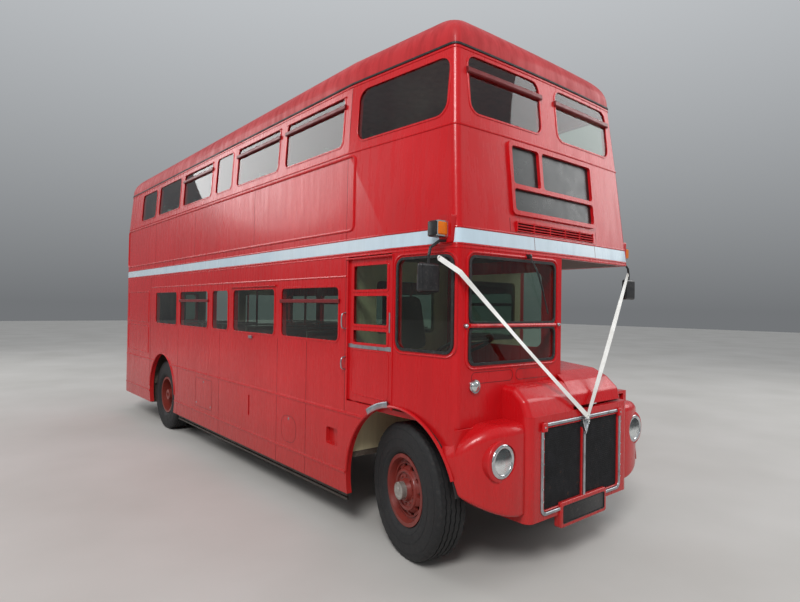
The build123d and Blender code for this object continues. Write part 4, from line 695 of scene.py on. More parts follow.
# Stove-enamelled black mesh of the radiator.
mesh_black = worn_metal("black_radiator_mesh", "radiator_mesh", "17181A", "26262A", 0.5, metallic=0.3)
# Black blank number plate.
plate_black = dull_plastic("black_plate_enamel", "plate_plastic", "0B0B0D", "16161A", 0.35, dusty=0.2)
# Black rubber of the glazing gaskets, bloomed grey.
rubber = dull_plastic("glazing_rubber", "window_glass", "101012", "1D1D1F", 0.55, dusty=0.3)
# Toughened glass, slightly green, with a film of dust.
glass = pane("toughened_window_glass", "window_glass", "DDE6E1", 0.02)
# Sign blinds of dark varnished cloth behind their own glass.
blind = dull_plastic("dark_sign_blind", "sign_blinds", "101614", "182020", 0.3, "3A403E", 0.15)

# %% [markdown]
# Under the body are rubber, red oxide enamel, chassis black and rusted steel, all dulled by the road.

# %% Running gear finishes
# Tyre rubber, browned and dusty, with road dirt on the walls.
tyre = dull_plastic("dusty_tyre_rubber", "tyre_rubber", "121214", "1C1C1D", 0.7, "5A544C", 0.22)
# Red oxide enamel on the pressed steel wheels.
wheel_red = worn_paint("red_oxide_wheel_enamel", "wheel_paint", "7A2620", "8A352C", "4A3C34", 0.40, 0.10, grime=0.5)
# Worn silver paint on the hub caps and nuts.
hub_silver = worn_metal("worn_hub_silver", "wheel_paint", "B4B0AA", "8A847C", 0.42, metallic=0.6, spots=0.4)
# Chassis black over rolled steel, rusted through in patches.
chassis = worn_metal("chassis_black_on_steel", "chassis_steel", "26262A", "3A3835", 0.6, metallic=0.2, spots=0.7)
# Forged steel of knuckles and rods, oily and rusted.
forged = worn_metal("oily_forged_steel", "forged_steel", "48443F", "2F2B28", 0.5, metallic=0.6, spots=0.6)
# Cast iron under grey-green engine enamel.
iron = worn_metal("engine_enamel_on_iron", "engine_iron", "5B665F", "454B47", 0.55, metallic=0.1, spots=0.5)
# Black enamel of the fuel tank.
tank = worn_paint("black_tank_enamel", "tank_paint", "17181A", "262628", "6B6054", 0.4, 0.1)
# Black enamel of the lifeguard rails.
rail = worn_paint("black_rail_enamel", "rail_paint", "141416", "232326", "6B6054", 0.5, 0.05)

# %% [markdown]
# Inside are stove enamel, ribbed plastic, leathercloth and moquette. The lamps' glass and lenses are here too.

# %% Inside finishes
# Steel tube of the seat frames, under stove enamel.
seat_steel = worn_metal("seat_frame_enamel", "seat_steel", "6E6A64", "57534E", 0.4, metallic=0.5)
# Ribbed plastic covering on the grab poles.
pole_red = dull_plastic("ribbed_pole_covering", "pole_covering", "B01A1E", "9A1A1C", 0.4, dusty=0.1)
# Leathercloth on the cab dash and binnacle.
cab_black = dull_plastic("cab_leathercloth", "cab_trim", "1C1C1E", "2A2A2C", 0.5)
# Thin moulded rim of the steering wheel.
rim_black = dull_plastic("moulded_wheel_rim", "wheel_rim_plastic", "101012", "1B1B1D", 0.3, dusty=0.1)
# Black plastic shells of mirrors and indicators.
shell_black = dull_plastic("moulded_black_shell", "mirror_bodies", "141416", "222224", 0.35, dusty=0.2)
# Silvered mirror glass.
silvered = worn_metal("silvered_mirror_glass", "mirror_bodies", "E6E9EA", "DADDE0", 0.03)
# Fluted lamp glass in front of a bright reflector.
lamp_clear = worn_metal("fluted_lamp_glass", "lamp_glass", "D9DDDC", "C9CECD", 0.08, metallic=0.85)
# Fluted headlamp glass over a bright bowl, whose reflection is painted in: bright below, dark above.
fluted = fluted_glass("fluted_headlamp_glass", "lamp_glass", "E4E8E8", "5A6062")
# Amber and red lenses of moulded acrylic.
amber = dull_plastic("amber_acrylic_lens", "lamp_glass", "D9660A", "E57A14", 0.15, dusty=0.05)
red_lens = dull_plastic("red_acrylic_lens", "lamp_glass", "A80A0E", "B81418", 0.15, dusty=0.05)
# Cut moquette of the passengers' seats, red with a dark figure and pale dots.
seat_cloth = moquette("cut_moquette_pile", "seat_moquette", "6E1A1E", "3A2A2C", "B59A6A")
# Dark speckled cloth of the driver's seat.
cab_cloth = moquette("speckled_cab_cloth", "cab_seat_cloth", "2A2622", "3A342E", "8E7A56")
# White satin ribbon, tied across the front.
satin = dull_plastic("white_satin_ribbon", "red_panels", "E9E8E4", "D8D6D0", 0.3, dusty=0.05)

# %% [markdown]
# Every CAD node takes the finish of its slot in the record, even where a richer piece stands in front of it.
# A table from slot to finish is shorter than a line for each node, and no node can be left out.

# %% Finish of each node
finish_of_slot = {
    "red_panels": red, "roof_paint": roof_red, "window_glass": glass, "sign_blinds": blind, "deck_floor": deck,
    "lining_paint": cream, "bright_aluminium": aluminium, "radiator_mesh": mesh_black, "plate_plastic": plate_black,
    "engine_iron": iron, "chassis_steel": chassis, "forged_steel": forged, "tyre_rubber": tyre,
    "wheel_paint": wheel_red, "tank_paint": tank, "rail_paint": rail, "seat_moquette": seat_cloth,
    "seat_steel": seat_steel, "pole_covering": pole_red, "cab_seat_cloth": cab_cloth, "cab_trim": cab_black,
    "wheel_rim_plastic": rim_black, "mirror_bodies": shell_black, "lamp_glass": lamp_clear}
slot_of_node = {part["node"]: part["material_slot"] for part in frame["record"]["subparts"]}
for name, node in nodes.items():
    node.data.materials.clear()
    node.data.materials.append(finish_of_slot[slot_of_node[name]])
print("nodes", len(nodes), "finishes", len(materials))

# %% [markdown]
# The real roof is one domed aluminium skin. Its CAD shell has thirteen level outlines, whose flats would show,
# so this skin follows the same superellipse in many more rows and stands in for the shell.

# %% Roof skin
roof_power = 2.6
roof_last_angle = 86.0
roof_wall = 0.045
roof_front_slope, roof_rear_slope = 1.1, 1.0
roof_front_growth, roof_rear_growth = 0.6, 0.28


def roof_row(angle, pull):
    """Roof outline at one angle: rise is sin^(2/p), inset is 1 - cos^(2/p), pulled in by the wall."""
    turn = math.radians(angle)
    crown = math.sin(math.radians(roof_last_angle)) ** (2 / roof_power)
    rise = (roof_top_z - gutter_z) * math.sin(turn) ** (2 / roof_power) / crown
    inset = half_at[2] * (1 - math.cos(turn) ** (2 / roof_power)) + pull * math.cos(turn)
    half = half_at[2] - inset
    lean = (half_at[2] - front_half_at[2]) / (lean_start_at[2] - front_at[2]) * half / half_at[2]
    turns = [min(value, half * 0.9) for value in (
        front_corner + roof_front_growth * inset, rear_corner + roof_rear_growth * inset)]
    shift = inset * roof_front_slope
    plan = plan_outline(half, lean, lean_start_at[2] + shift, front_at[2] + shift,
                        rear_at[2] - inset * roof_rear_slope, *turns)
    return at_height(plan, gutter_z + rise - pull * math.sin(turn))


roof_angles = np.concatenate([np.linspace(0, 30, 11), np.linspace(34, roof_last_angle, 14)])
outer_rows = [roof_row(angle, 0.0) for angle in roof_angles]
inner_rows = [roof_row(angle, roof_wall) for angle in roof_angles[::-1]]
roof_points = np.array(inner_rows + outer_rows)
roof_count, roof_width = roof_points.shape[:2]
roof_faces = list(grid_faces(roof_count, roof_width, close_columns=True))
roof_faces.append(np.arange(roof_width)[::-1])
roof_faces.append(np.arange(roof_width) + (roof_count - 1) * roof_width)
roof_skin = mesh_piece("roof_skin", roof_points, roof_faces, roof_red, smooth=50.0)
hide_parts("roof")
print("roof skin", roof_points.reshape(-1, 3).min(0).round(3), roof_points.reshape(-1, 3).max(0).round(3))

# %% [markdown]
# Some trim runs right round the body: gutter, beads, rivets and the pale band between the decks.
# Each follows the body's outline at its height, corners and all, so both ends of the strip meet.

# %% Trim round the body


def plan_normals(plan, tangent):
    """Level normals of a closed plan outline, turned outwards."""
    normal = np.stack([-tangent[:, 1], tangent[:, 0], 0 * tangent[:, 0]], -1)
    normal /= np.linalg.norm(normal, axis=1, keepdims=True)
    return normal * np.sign((normal[:, 0] * plan[:, 0]).sum())


def ring_trim(batch, z, section):
    """Sweep a section right round the body at height z."""
    plan = body_outline(z)
    normal = plan_normals(plan, np.roll(plan, -1, 0) - np.roll(plan, 1, 0))
    batch.add(*sweep(at_height(plan, z), normal, section, True))


def strip(z0, z1, proud):
    """Thin painted strip round the body between two heights: an outer and an inner wall, closed top and foot."""
    grid = np.array([at_height(body_outline(z, out), z) for z, out in (
        (z0, -foot_sink), (z0, proud), ((z0 + z1) / 2, proud), (z1, proud), (z1, -foot_sink))])
    return grid.reshape(-1, 3), grid_faces(len(grid), grid.shape[1], close_rows=True, close_columns=True)


# %% [markdown]
# The gutter line is a thin black strip, the band is a painted panel between two beads, and the beads cover the
# panels' edges. The band is a thin strip of its own rather than a colour in the paint, so its edge is sharp.

# %% Gutter, pale band and beads
gutter_line = Batch()
ring_trim(gutter_line, gutter_z + 0.004, bar_section(0.016, 0.008))
gutter_line.piece("gutter_line", rubber)

band_low, band_high = 2.428, 2.531
band = Batch()
band.add(*strip(band_low, band_high, 0.002))
band.piece("pale_band", pale)

red_beads = Batch()
for z, width, out in ((band_high + 0.009, 0.016, 0.007), (band_low - 0.008, 0.014, 0.006),
                      (waist_z, 0.022, 0.007), (gutter_z - 0.022, 0.018, 0.006), (deck_z + 0.004, 0.012, 0.004)):
    ring_trim(red_beads, z, half_round(width, out))


# %% [markdown]
# Solid rivets hold the panels at an even pitch. Each head is a dome of a few faces, because there are hundreds.

# %% Rivets round the body


def ring_rivets(batch, z, pitch, radius, height):
    """Rivet heads at even distances round the body."""
    plan = body_outline(z)
    closed = np.vstack([plan, plan[:1]])
    run = np.concatenate([[0], np.cumsum(np.linalg.norm(np.diff(closed, axis=0), axis=1))])

    def place(distance):
        return np.stack([np.interp(distance % run[-1], run, closed[:, k]) for k in (0, 1)], -1)

    at = np.arange(0, run[-1], pitch)
    normal = plan_normals(place(at), place(at + 0.01) - place(at))
    domes(batch, at_height(place(at), z), normal, radius, height, around=6, rings=1)


rivets = Batch()
for z, pitch in ((gutter_z - 0.045, 0.085), (waist_z + 0.022, 0.11), (waist_z - 0.022, 0.11)):
    ring_rivets(rivets, z, pitch, 0.0045, 0.003)

# %% [markdown]
# The upper deck's windows sit in gaskets painted over with the body, and ledges shade their sliding vents.
# One loop draws both sides from the pillars' places, so a window moves with its pillars. The joints between
# panels are thin raised lines, since a cut line would need the wall itself; their dark red, like that of the ledges,
# is painted shade.

# %% Upper deck trim
gasket = bar_section(0.016, 0.005)
pillar_half, window_lap = 0.068, 0.004
pillars = [from_axle(y) for y in (0.700, 1.970, 3.175, 3.825, 5.040, 6.190)]
upper_sill, upper_head, upper_vent = waist_z + 0.072, gutter_z - 0.075, gutter_z - 0.180
front_sill, front_head, front_vent = waist_z + 0.100, gutter_z - 0.050, gutter_z - 0.185
lower_sill, lower_head, lower_vent = 1.645, 2.147, 2.010
gaskets = Batch()
ledges = Batch()
seams = Batch()
seam_line = bar_section(0.005, 0.0012, 0.0004)


def bay_edges(first, last):
    """Front and rear edge of a side window between two pillars."""
    return pillars[first] + pillar_half + (0.060 if first == 0 else 0.0), pillars[last] - pillar_half


vent_ledge, vent_shadow = bar_section(0.040, 0.020, 0.006), bar_section(0.012, 0.012)
upper_low, upper_high = upper_sill + window_lap, upper_head - window_lap
for wall in (offside, nearside):
    for first, last, vent in ((0, 1, True), (1, 2, True), (2, 3, False), (3, 4, True), (4, 5, False)):
        y0, y1 = bay_edges(first, last)
        trim(gaskets, wall, rounded(y0 + window_lap, y1 - window_lap, upper_low, upper_high, 0.058), gasket)
        if vent:
            line(ledges, wall, (y0 - 0.012, upper_vent), (y1 + 0.012, upper_vent), vent_ledge)
            line(gaskets, wall, (y0, upper_head - 0.012), (y1, upper_head - 0.012), vent_shadow)
    # The foremost and the last window have rounder corners
    for y0, y1, radius in ((-0.391, 0.636, 0.106), (6.264, 7.066, 0.086)):
        trim(gaskets, wall, rounded(from_axle(y0), from_axle(y1), upper_low, upper_high, radius), gasket)
    trim(red_beads, wall, rounded(from_axle(0.63), from_axle(7.80), 2.62, 3.262, 0.05), half_round(0.026, 0.012))
    for y, z0, z1 in ((0.735, band_high, gutter_z), (6.190, band_high, gutter_z), (2.57, 2.63, 3.25),
                      (4.43, 2.63, 3.25)):
        line(seams, wall, (from_axle(y), z0), (from_axle(y), z1), seam_line)
for x0, x1 in ((-0.960, -0.105), (0.105, 0.960)):
    trim(gaskets, front, rounded(x0 + window_lap, x1 - window_lap, front_sill + window_lap, front_head - window_lap,
                                 0.086), gasket)
    line(ledges, front, (x0 - 0.01, front_vent), (x1 + 0.01, front_vent), bar_section(0.046, 0.022, 0.008))
for x in (-0.32, 0.56):
    line(seams, front, (x, band_low + 0.002), (x, band_high - 0.002), bar_section(0.004, 0.0032, 0.0003))
trim(seams, front, [(-0.60, 2.66), (-0.60, 2.55), (0.60, 2.55), (0.60, 2.66)], seam_line, closed=False)
gaskets.piece("window_gaskets_upper", red)
# The ledges and the joints are dark red: painted shade of the channels and grooves.
ledges.piece("vent_ledges_upper", red_painted_shade)
red_beads.piece("raised_beads", red)
rivets.piece("rivet_heads", red, smooth=60.0)
seams.piece("panel_joints_upper", red_painted_shade)

# %% [markdown]
# The lower sides stop at the wheel arches. An arch is a circle on the wall, so a moulding finds its own end
# from the circle's reach at its height.

# %% Lower deck trim
gaskets, ledges, beads, seams, rivets = Batch(), Batch(), Batch(), Batch(), Batch()
arch_front = (from_axle(0.025), 0.525, 0.662)
arch_rear = (from_axle(5.762), 0.580, 0.605)
skirt_z = 0.358
tail_y = from_axle(7.80)


def plane_x(x, sign):
    """Flat upright surface at x: (y, z) gives points facing sign along X."""

    def surface(y, z):
        y, z = np.broadcast_arrays(np.asarray(y, float), np.asarray(z, float))
        point = np.stack([np.full(y.shape, x), y, z], -1)
        return point, np.broadcast_to(np.array([float(sign), 0.0, 0.0]), point.shape)

    return surface


def arch_path(centre, start, end, out=0.0):
    """Points of a wheel arch's edge between two angles in degrees, from the front horizontal."""
    y, z, radius = centre
    turn = np.radians(np.linspace(start, end, 33))
    return np.column_stack([y - (radius + out) * np.cos(turn), z + (radius + out) * np.sin(turn)])


def arch_reach(centre, z):
    """Half width of an arch at height z."""
    return math.sqrt(centre[2] ** 2 - (z - centre[1]) ** 2)


# %% [markdown]
# Both sides have gaskets, two mouldings, panel joints with paired rivets, and lips round the arches. The side
# with the platform has no wall behind the rear arch, so its mouldings end there.

# %% Lower sides
moulding, thin_bead = half_round(0.030, 0.010), half_round(0.018, 0.007)
lower_gasket, rain_ledge = bar_section(0.020, 0.005), bar_section(0.036, 0.014, 0.005)
lower_lap, arch_gap, rivet_pitch = 0.003, 0.012, 0.12
side_rivet = (0.004, 0.0025, 6, 1)
for side, wall in ((-1, offside), (1, nearside)):
    for first, last, vent in ((0, 1, True), (1, 2, False), (2, 3, False), (3, 4, True), (4, 5, False)):
        y0, y1 = bay_edges(first, last)
        trim(gaskets, wall, rounded(y0 + lower_lap, y1 - lower_lap, lower_sill + lower_lap, lower_head - lower_lap,
                                    0.058), lower_gasket)
        if vent:
            line(ledges, wall, (y0 - 0.01, lower_vent), (y1 + 0.01, lower_vent), rain_ledge)
    for z in (1.045, 0.536):
        behind_front = arch_front[0] + arch_reach(arch_front, z) + arch_gap
        rear_reach = arch_reach(arch_rear, z) + arch_gap
        line(beads, wall, (behind_front, z), (arch_rear[0] - rear_reach, z), moulding)
        if side < 0:
            line(beads, wall, (arch_rear[0] + rear_reach, z), (tail_y, z), moulding)
    for y in (1.38, 1.97, 3.50, 5.04) if side < 0 else (1.97, 3.50, 5.04):
        line(seams, wall, (from_axle(y), skirt_z + 0.004), (from_axle(y), 1.62), seam_line)
        for z in np.arange(0.42, 1.60, 0.09):
            domes(rivets, *wall([from_axle(y) + 0.018, from_axle(y) - 0.018], [z, z]), *side_rivet)
    for y, foot in ((0.728, 1.06), (6.395, 0.42)):
        line(seams, wall, (from_axle(y), foot), (from_axle(y), deck_z), seam_line)
    for y0, z in ((0.80, 2.19), (0.80, 2.355), (0.85, 1.60)):
        at = np.arange(from_axle(y0), from_axle(6.35), rivet_pitch)
        domes(rivets, *wall(at, np.full(len(at), z)), *side_rivet)
    line(beads, wall, (from_axle(0.72), 2.225), (from_axle(6.36), 2.225), thin_bead)
    trim(beads, wall, arch_path(arch_rear, 4, 176, 0.004), half_round(0.024, 0.012), closed=False)
    trim(beads, plane_x(side * 1.214, side), arch_path(arch_front, 2 if side > 0 else 22, 178, 0.004),
         half_round(0.024, 0.014), closed=False, spacing=0.06)
gaskets.piece("window_gaskets_lower", red)
# The lower vent ledges are dark red: painted shade.
ledges.piece("vent_ledges_lower", red_painted_shade)

# %% [markdown]
# The second bay's window on the driver's side is an emergency exit, with a rain rail over it and a latch under
# it. Behind the rear arch are two beaded panels; ahead of it, two flush hatches with round latches.

# %% Exit window, tail panels and hatches
exit_y0, exit_y1 = bay_edges(1, 2)
line(beads, offside, (exit_y0 - 0.03, lower_head + 0.024), (exit_y1 + 0.03, lower_head + 0.024),
     bar_section(0.012, 0.022, 0.003))
for z0, z1 in ((1.15, 1.60), (1.66, 2.16)):
    trim(beads, offside, rounded(from_axle(6.50), from_axle(7.72), z0, z1, 0.03), half_round(0.020, 0.007))
for y0, y1, z1, radius in ((1.56, 1.86, 0.86, 0.11), (3.72, 4.30, 0.98, 0.03)):
    trim(seams, offside, rounded(from_axle(y0), from_axle(y1), 0.60, z1, radius), seam_line)
beads.piece("lower_mouldings", red)
# The lower panel joints and hatch outlines are dark red: painted shade of their grooves.
seams.piece("panel_joints_lower", red_painted_shade)
fittings = Batch()
fittings.add(*block(-1.236, -1.211, exit_y0 + 0.52, exit_y0 + 0.60, 1.590, 1.622, 0.004))
for y, z in ((1.71, 0.83), (4.01, 0.94), (3.76, 0.64), (4.26, 0.64)):
    domes(fittings, *offside([from_axle(y)], [z]), 0.014, 0.006, 12, 2)
fittings.piece("side_latches", aluminium)
rivets.piece("rivet_heads_lower", red, smooth=60.0)

# %% [markdown]
# The cab's sliding door has three panes one above another, thin edge trim, and a bright strip with a short
# upright pull over it.
# It stands inside the wall's line, so its trim is drawn on its own upright plane and rides with the door.

# %% Cab door
door_face = plane_x(-1.197, -1)
door_rubber = Batch()
for z0, z1 in ((1.650, 1.776), (1.804, 2.066), (2.094, 2.320)):
    trim(door_rubber, door_face, rounded(from_axle(0.163), from_axle(0.642), z0 + 0.002, z1 - 0.002, 0.022),
         bar_section(0.022, 0.005))
door_rubber.piece("door_window_rubber", red, ride="cab_door")
door_trim = Batch()
for y in (0.104, 0.701):
    line(door_trim, door_face, (from_axle(y), 1.17), (from_axle(y), 2.375), bar_section(0.006, 0.003, 0.001))
trim(door_trim, door_face, rounded(from_axle(0.15), from_axle(0.655), 1.22, 1.60, 0.04), half_round(0.012, 0.004))
door_trim.piece("door_edge_trim", red, ride="cab_door")
door_metal = Batch()
line(door_metal, door_face, (from_axle(0.105), 1.630), (from_axle(0.700), 1.630), bar_section(0.034, 0.004, 0.001))
line(door_metal, door_face, (from_axle(0.138), 1.76), (from_axle(0.138), 1.92), bar_section(0.014, 0.0045, 0.002))
door_metal.piece("door_bright_strip", aluminium, ride="cab_door")

# %% [markdown]
# The cab's window and the split windscreen sit in thick black rubber inside a raised red bead. The rubber is a
# broad flat section and the bead a half round, which is what makes the frame look deep.

# %% Cab window and windscreen
cab_rubber, cab_gasket = Batch(), bar_section(0.022, 0.009)
trim(cab_rubber, offside, rounded(from_axle(-0.536), from_axle(0.031), 1.644, 2.336, 0.066), cab_gasket)
for z0, z1 in ((1.564, 1.822), (1.858, 2.336)):
    trim(cab_rubber, front, rounded(-1.046, -0.064, z0, z1, 0.046), cab_gasket)
cab_rubber.piece("cab_window_rubbers", rubber)
cab_beads = Batch()
trim(cab_beads, offside, rounded(from_axle(-0.566), from_axle(0.062), 1.614, 2.366, 0.09), half_round(0.018, 0.009))
trim(cab_beads, front, rounded(-1.078, -0.032, 1.532, 2.366, 0.07), half_round(0.020, 0.010))
line(cab_beads, front, (-1.05, 1.840), (-0.06, 1.840), half_round(0.034, 0.022))
line(cab_beads, offside, (from_axle(0.082), 1.16), (from_axle(0.082), 2.38), half_round(0.014, 0.008))
line(cab_beads, offside, (from_axle(0.085), 2.372), (from_axle(0.72), 2.372), half_round(0.018, 0.012))
cab_beads.piece("cab_window_beads", red)
cab_seams = Batch()
for x0, x1 in ((-1.02, -0.58), (-0.54, -0.12)):
    trim(cab_seams, front, rounded(x0, x1, 1.425, 1.505, 0.035), seam_line)
# The cab's panel joints are dark red: painted shade of their grooves.
cab_seams.piece("cab_panel_joints", red_painted_shade)

# %% [markdown]
# Old silver tape lies near the top of the offside front arch. Two D handles on the pillar are bent rod, so each is
# a tube along a smooth path. Two turned buttons close the ends of the windscreen's middle bar.

# %% Tape and door handles
bright = Batch()
tape_turn = np.radians([58.0, 64.0, 70.0, 76.0, 82.0])
tape_radius = arch_front[2] + 0.020
tape_y = arch_front[0] + tape_radius * np.cos(tape_turn[::-1])
tape_z = arch_front[1] + tape_radius * np.sin(tape_turn[::-1])
trim(bright, offside, np.column_stack([tape_y, tape_z]), bar_section(0.046, 0.0125, 0.001), closed=False)


def grab_handle(batch, y, z0, z1, stand, radius):
    """D-shaped handle on the offside wall: two feet and a bar that stands off between them."""
    foot_x = offside([y], [z0])[0][0, 0]
    path = [(foot_x, y, z0), (foot_x - stand * 0.8, y, z0 + 0.012), (foot_x - stand, y, z0 + stand),
            (foot_x - stand, y, z1 - stand), (foot_x - stand * 0.8, y, z1 - 0.012), (foot_x, y, z1)]
    batch.add(*tube(smooth_path(path, 6), radius, 10))


for z0, z1 in ((1.77, 1.91), (1.42, 1.53)):
    grab_handle(bright, from_axle(0.722), z0, z1, 0.045, 0.007)
for x in (-1.090, -0.020):
    point, normal = front([x], [1.840])
    bright.add(*turned([(0.0, 0.016), (0.018, 0.016), (0.028, 0.010), (0.030, 0.0)], point[0], normal[0], 16))
bright.piece("cab_bright_fittings", aluminium, smooth=50.0)

# %% [markdown]
# The wiper has a twin arm, a blade along the glass and a domed pivot cap. Its ends are points on the front
# wall pushed out along the normal, so the blade lies in front of the bowed screen.

# %% Windscreen wiper
wiper = Batch()
pivot, pivot_out = front([-0.42], [2.372])
tip, tip_out = front([-0.255], [2.105])
arm_root, arm_tip = pivot[0] + pivot_out[0] * 0.030, tip[0] + tip_out[0] * 0.034
for offset in (-0.007, 0.007):
    wiper.add(*tube([arm_root + [offset, 0, 0], arm_root * 0.5 + arm_tip * 0.5 + [offset, -0.012, 0],
                     arm_tip + [offset * 0.3, 0, 0]], 0.0032, 8))
blade_top, blade_foot = front([-0.335], [2.290])[0][0], front([-0.175], [1.930])[0][0]
blade_middle, out = (blade_top + blade_foot) / 2, np.array([0, -0.020, 0])
wiper.add(*tube([blade_top + out, blade_middle + out * 1.4, blade_foot + out], 0.0055, 8))
wiper.add(*tube([arm_tip, blade_middle + out * 1.2], 0.005, 8))
wiper.add(*turned([(0.0, 0.018), (0.034, 0.018), (0.040, 0.010), (0.041, 0.0)], pivot[0], pivot_out[0], 16))
wiper.piece("windscreen_wiper", shell_black)

# %% [markdown]
# A small side lamp has a chromium ring and a domed lens, both turned about the same axis.

# %% Side lamp
side_lamp = Batch()
lamp_axis = np.array([0.0, -1.0, 0.0])
lamp_face = np.array([-0.994, from_axle(-0.585), 1.407])
side_lamp.add(*turned([(-0.006, 0.051), (0.004, 0.052), (0.012, 0.048), (0.010, 0.040), (0.003, 0.038)], lamp_face,
                      lamp_axis, 40))
side_lamp.piece("side_lamp_ring", chrome)
side_lens = Batch()
side_lens.add(*turned([(0.006, 0.039), (0.015, 0.035), (0.022, 0.022), (0.024, 0.0)], lamp_face, lamp_axis, 40))
side_lens.piece("side_lamp_lens", lamp_clear)

# %% [markdown]
# A black strip lines the front and the top of each front arch. It is a bent bar of four long edges.

# %% Arch strips
arch_strip = Batch()
strip_turn = np.radians(np.linspace(12, 100, 25))
for side in (-1, 1):
    rows = np.array([np.column_stack([np.full(len(strip_turn), side * x), arch_front[0] - radius * np.cos(strip_turn),
                                      arch_front[1] + radius * np.sin(strip_turn)])
                     for radius, x in ((0.660, 1.205), (0.660, 1.110), (0.652, 1.110), (0.652, 1.205))])
    faces = list(grid_faces(4, len(strip_turn), close_rows=True))
    faces += [np.arange(4) * len(strip_turn), np.arange(4)[::-1] * len(strip_turn) + len(strip_turn) - 1]
    arch_strip.add(rows.reshape(-1, 3), faces)
arch_strip.piece("front_arch_strip", rubber)

# %% [markdown]
# The grille is a red frame in two halves, with a thin inner rim, two corner tabs and rows of screws.
# The faces of the grille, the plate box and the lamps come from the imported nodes' boxes.
# That way each skin sits on its own solid.

# %% Grille
facing_front = np.array([0.0, -1.0, 0.0])
grille_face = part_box("grille_frame")[0][1]
grille_width = 0.026


def plane_front(y):
    """Flat upright surface at y, seen from the front: (x, z) gives points facing -Y."""

    def surface(x, z):
        x, z = np.broadcast_arrays(np.asarray(x, float), np.asarray(z, float))
        point = np.stack([x, np.full(x.shape, y), z], -1)
        return point, np.broadcast_to(facing_front, point.shape)

    return surface


grille_rim = Batch()
rim_x, rim_z0, rim_z1 = 0.554 - grille_width, 0.451 + grille_width, 1.129 - grille_width
for side in (-1, 1):
    inner, outer = sorted((side * 0.020, side * (rim_x - 0.008)))
    trim(grille_rim, plane_front(from_axle(-0.832)), rounded(inner, outer, rim_z0 + 0.008, rim_z1 - 0.008, 0.030),
         bar_section(0.012, 0.012, 0.003), spacing=0.1)
grille_rim.piece("grille_inner_rim", red)
tabs, tab_screws = Batch(), Batch()
for side in (-1, 1):
    tabs.add(*side_block(side, 0.500, 0.560, grille_face - 0.005, grille_face + 0.012, 1.070, 1.136, 0.003))
    domes(tab_screws, [(side * 0.530, grille_face - 0.004, 1.103)], [facing_front], 0.009, 0.005, 12, 2)
tabs.piece("grille_corner_tabs", red)
for z in np.linspace(0.56, 1.02, 6):
    domes(tab_screws, [(-0.541, grille_face - 0.0003, z), (0.541, grille_face - 0.0003, z)], [facing_front] * 2,
          0.006, 0.003, 10, 2)
tab_screws.piece("grille_screws", chrome)

# %% [markdown]
# A plain three-cornered badge sits at the top of the grille. Only its bright rim is drawn; it carries nothing.

# %% Blank badge
badge = Batch()
trim(badge, plane_front(grille_face - 0.005), [(-0.050, 1.104), (0.050, 1.104), (0.0, 0.992)],
     half_round(0.008, 0.005, 4), spacing=0.012)
badge.piece("blank_badge_rim", chrome)

# %% [markdown]
# The guard is woven wire. A picture of a mesh would look flat from the side, so each wire is a thin five-sided
# tube: level wires, and upright ones a little in front of them. The pitch is as fine as the render shows.

# %% Radiator guard
wires, wire_radius, wire_pitch = Batch(), 0.0017, 0.0165
wire_y, wire_in, wire_out = from_axle(-0.830), 0.024, rim_x - 0.016
for side in (-1, 1):
    for z in np.arange(rim_z0 + 0.02, rim_z1 - 0.01, wire_pitch):
        wires.add(*tube([(side * wire_in, wire_y, z), (side * wire_out, wire_y, z)], wire_radius, 5))
    for x in np.arange(wire_in, wire_out, wire_pitch):
        wires.add(*tube([(side * x, wire_y - 0.002, z) for z in (rim_z0 + 0.012, rim_z1 - 0.012)], wire_radius, 5))
wires.piece("radiator_guard_wires", mesh_black)

# %% [markdown]
# The number plate is left blank: a black plate with a thin rubber rim, in its red box.

# %% Number plate
plate_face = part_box("plate_box")[0][1]
plate = Batch()
plate.add(*block(-0.284, 0.284, plate_face + 0.0015, plate_face + 0.009, 0.351, 0.474, 0.003))
plate.piece("blank_number_plate", plate_black)
plate_edge = Batch()
trim(plate_edge, plane_front(plate_face + 0.001), rounded(-0.288, 0.288, 0.347, 0.478, 0.012),
     bar_section(0.006, 0.003, 0.001), spacing=0.15)
plate_edge.piece("number_plate_rim", rubber)
nodes["plate_box"].data.materials[0] = red

# %% [markdown]
# A headlamp is a rolled chromium rim with two screws over fluted glass. The glass is a disc of rings and
# spokes: its depth bulges with the square of the radius, and a cosine across it cuts the flutes.

# %% Headlamps
headlamp_x, headlamp_y, headlamp_z = 0.909, from_axle(-0.782), 0.902
glass_radius, flute_pitch = 0.0905, 0.0095
around, steps = 96, 12
headlamp_rim, flutes, lamp_screws = Batch(), Batch(), Batch()
for side in (-1, 1):
    place = np.array([side * headlamp_x, headlamp_y, headlamp_z])
    headlamp_rim.add(*turned([(-0.002, 0.1205), (0.004, 0.1212), (0.009, 0.117), (0.0115, 0.108), (0.0105, 0.097),
                              (0.0075, 0.0915), (0.004, 0.0900)], place, facing_front, 64))
    radius = np.linspace(glass_radius, 0.0, steps + 1)[:-1]
    turn = np.arange(around) * 2 * np.pi / around
    u, v = np.outer(radius, np.cos(turn)), np.outer(radius, np.sin(turn))
    bulge = 0.0055 + 0.0085 * (1 - (radius[:, None] / glass_radius) ** 2)
    flute = 0.0006 * np.cos(u * 2 * np.pi / flute_pitch) * (radius[:, None] < 0.084)
    grid = np.stack([place[0] + u, place[1] - bulge - flute, place[2] + v], -1)
    faces = list(grid_faces(steps, around, close_columns=True))
    last = (steps - 1) * around
    centre_index = steps * around
    faces += [np.array([last + k, last + (k + 1) % around, centre_index]) for k in range(around)]
    points = np.concatenate([grid.reshape(-1, 3), [place - [0, 0.0146, 0]]])
    flutes.add(points, [np.asarray(f)[::-1] for f in faces])
    domes(lamp_screws, [place + [0, -0.011, z] for z in (0.104, -0.104)], [facing_front] * 2, 0.006, 0.003, 10, 2)
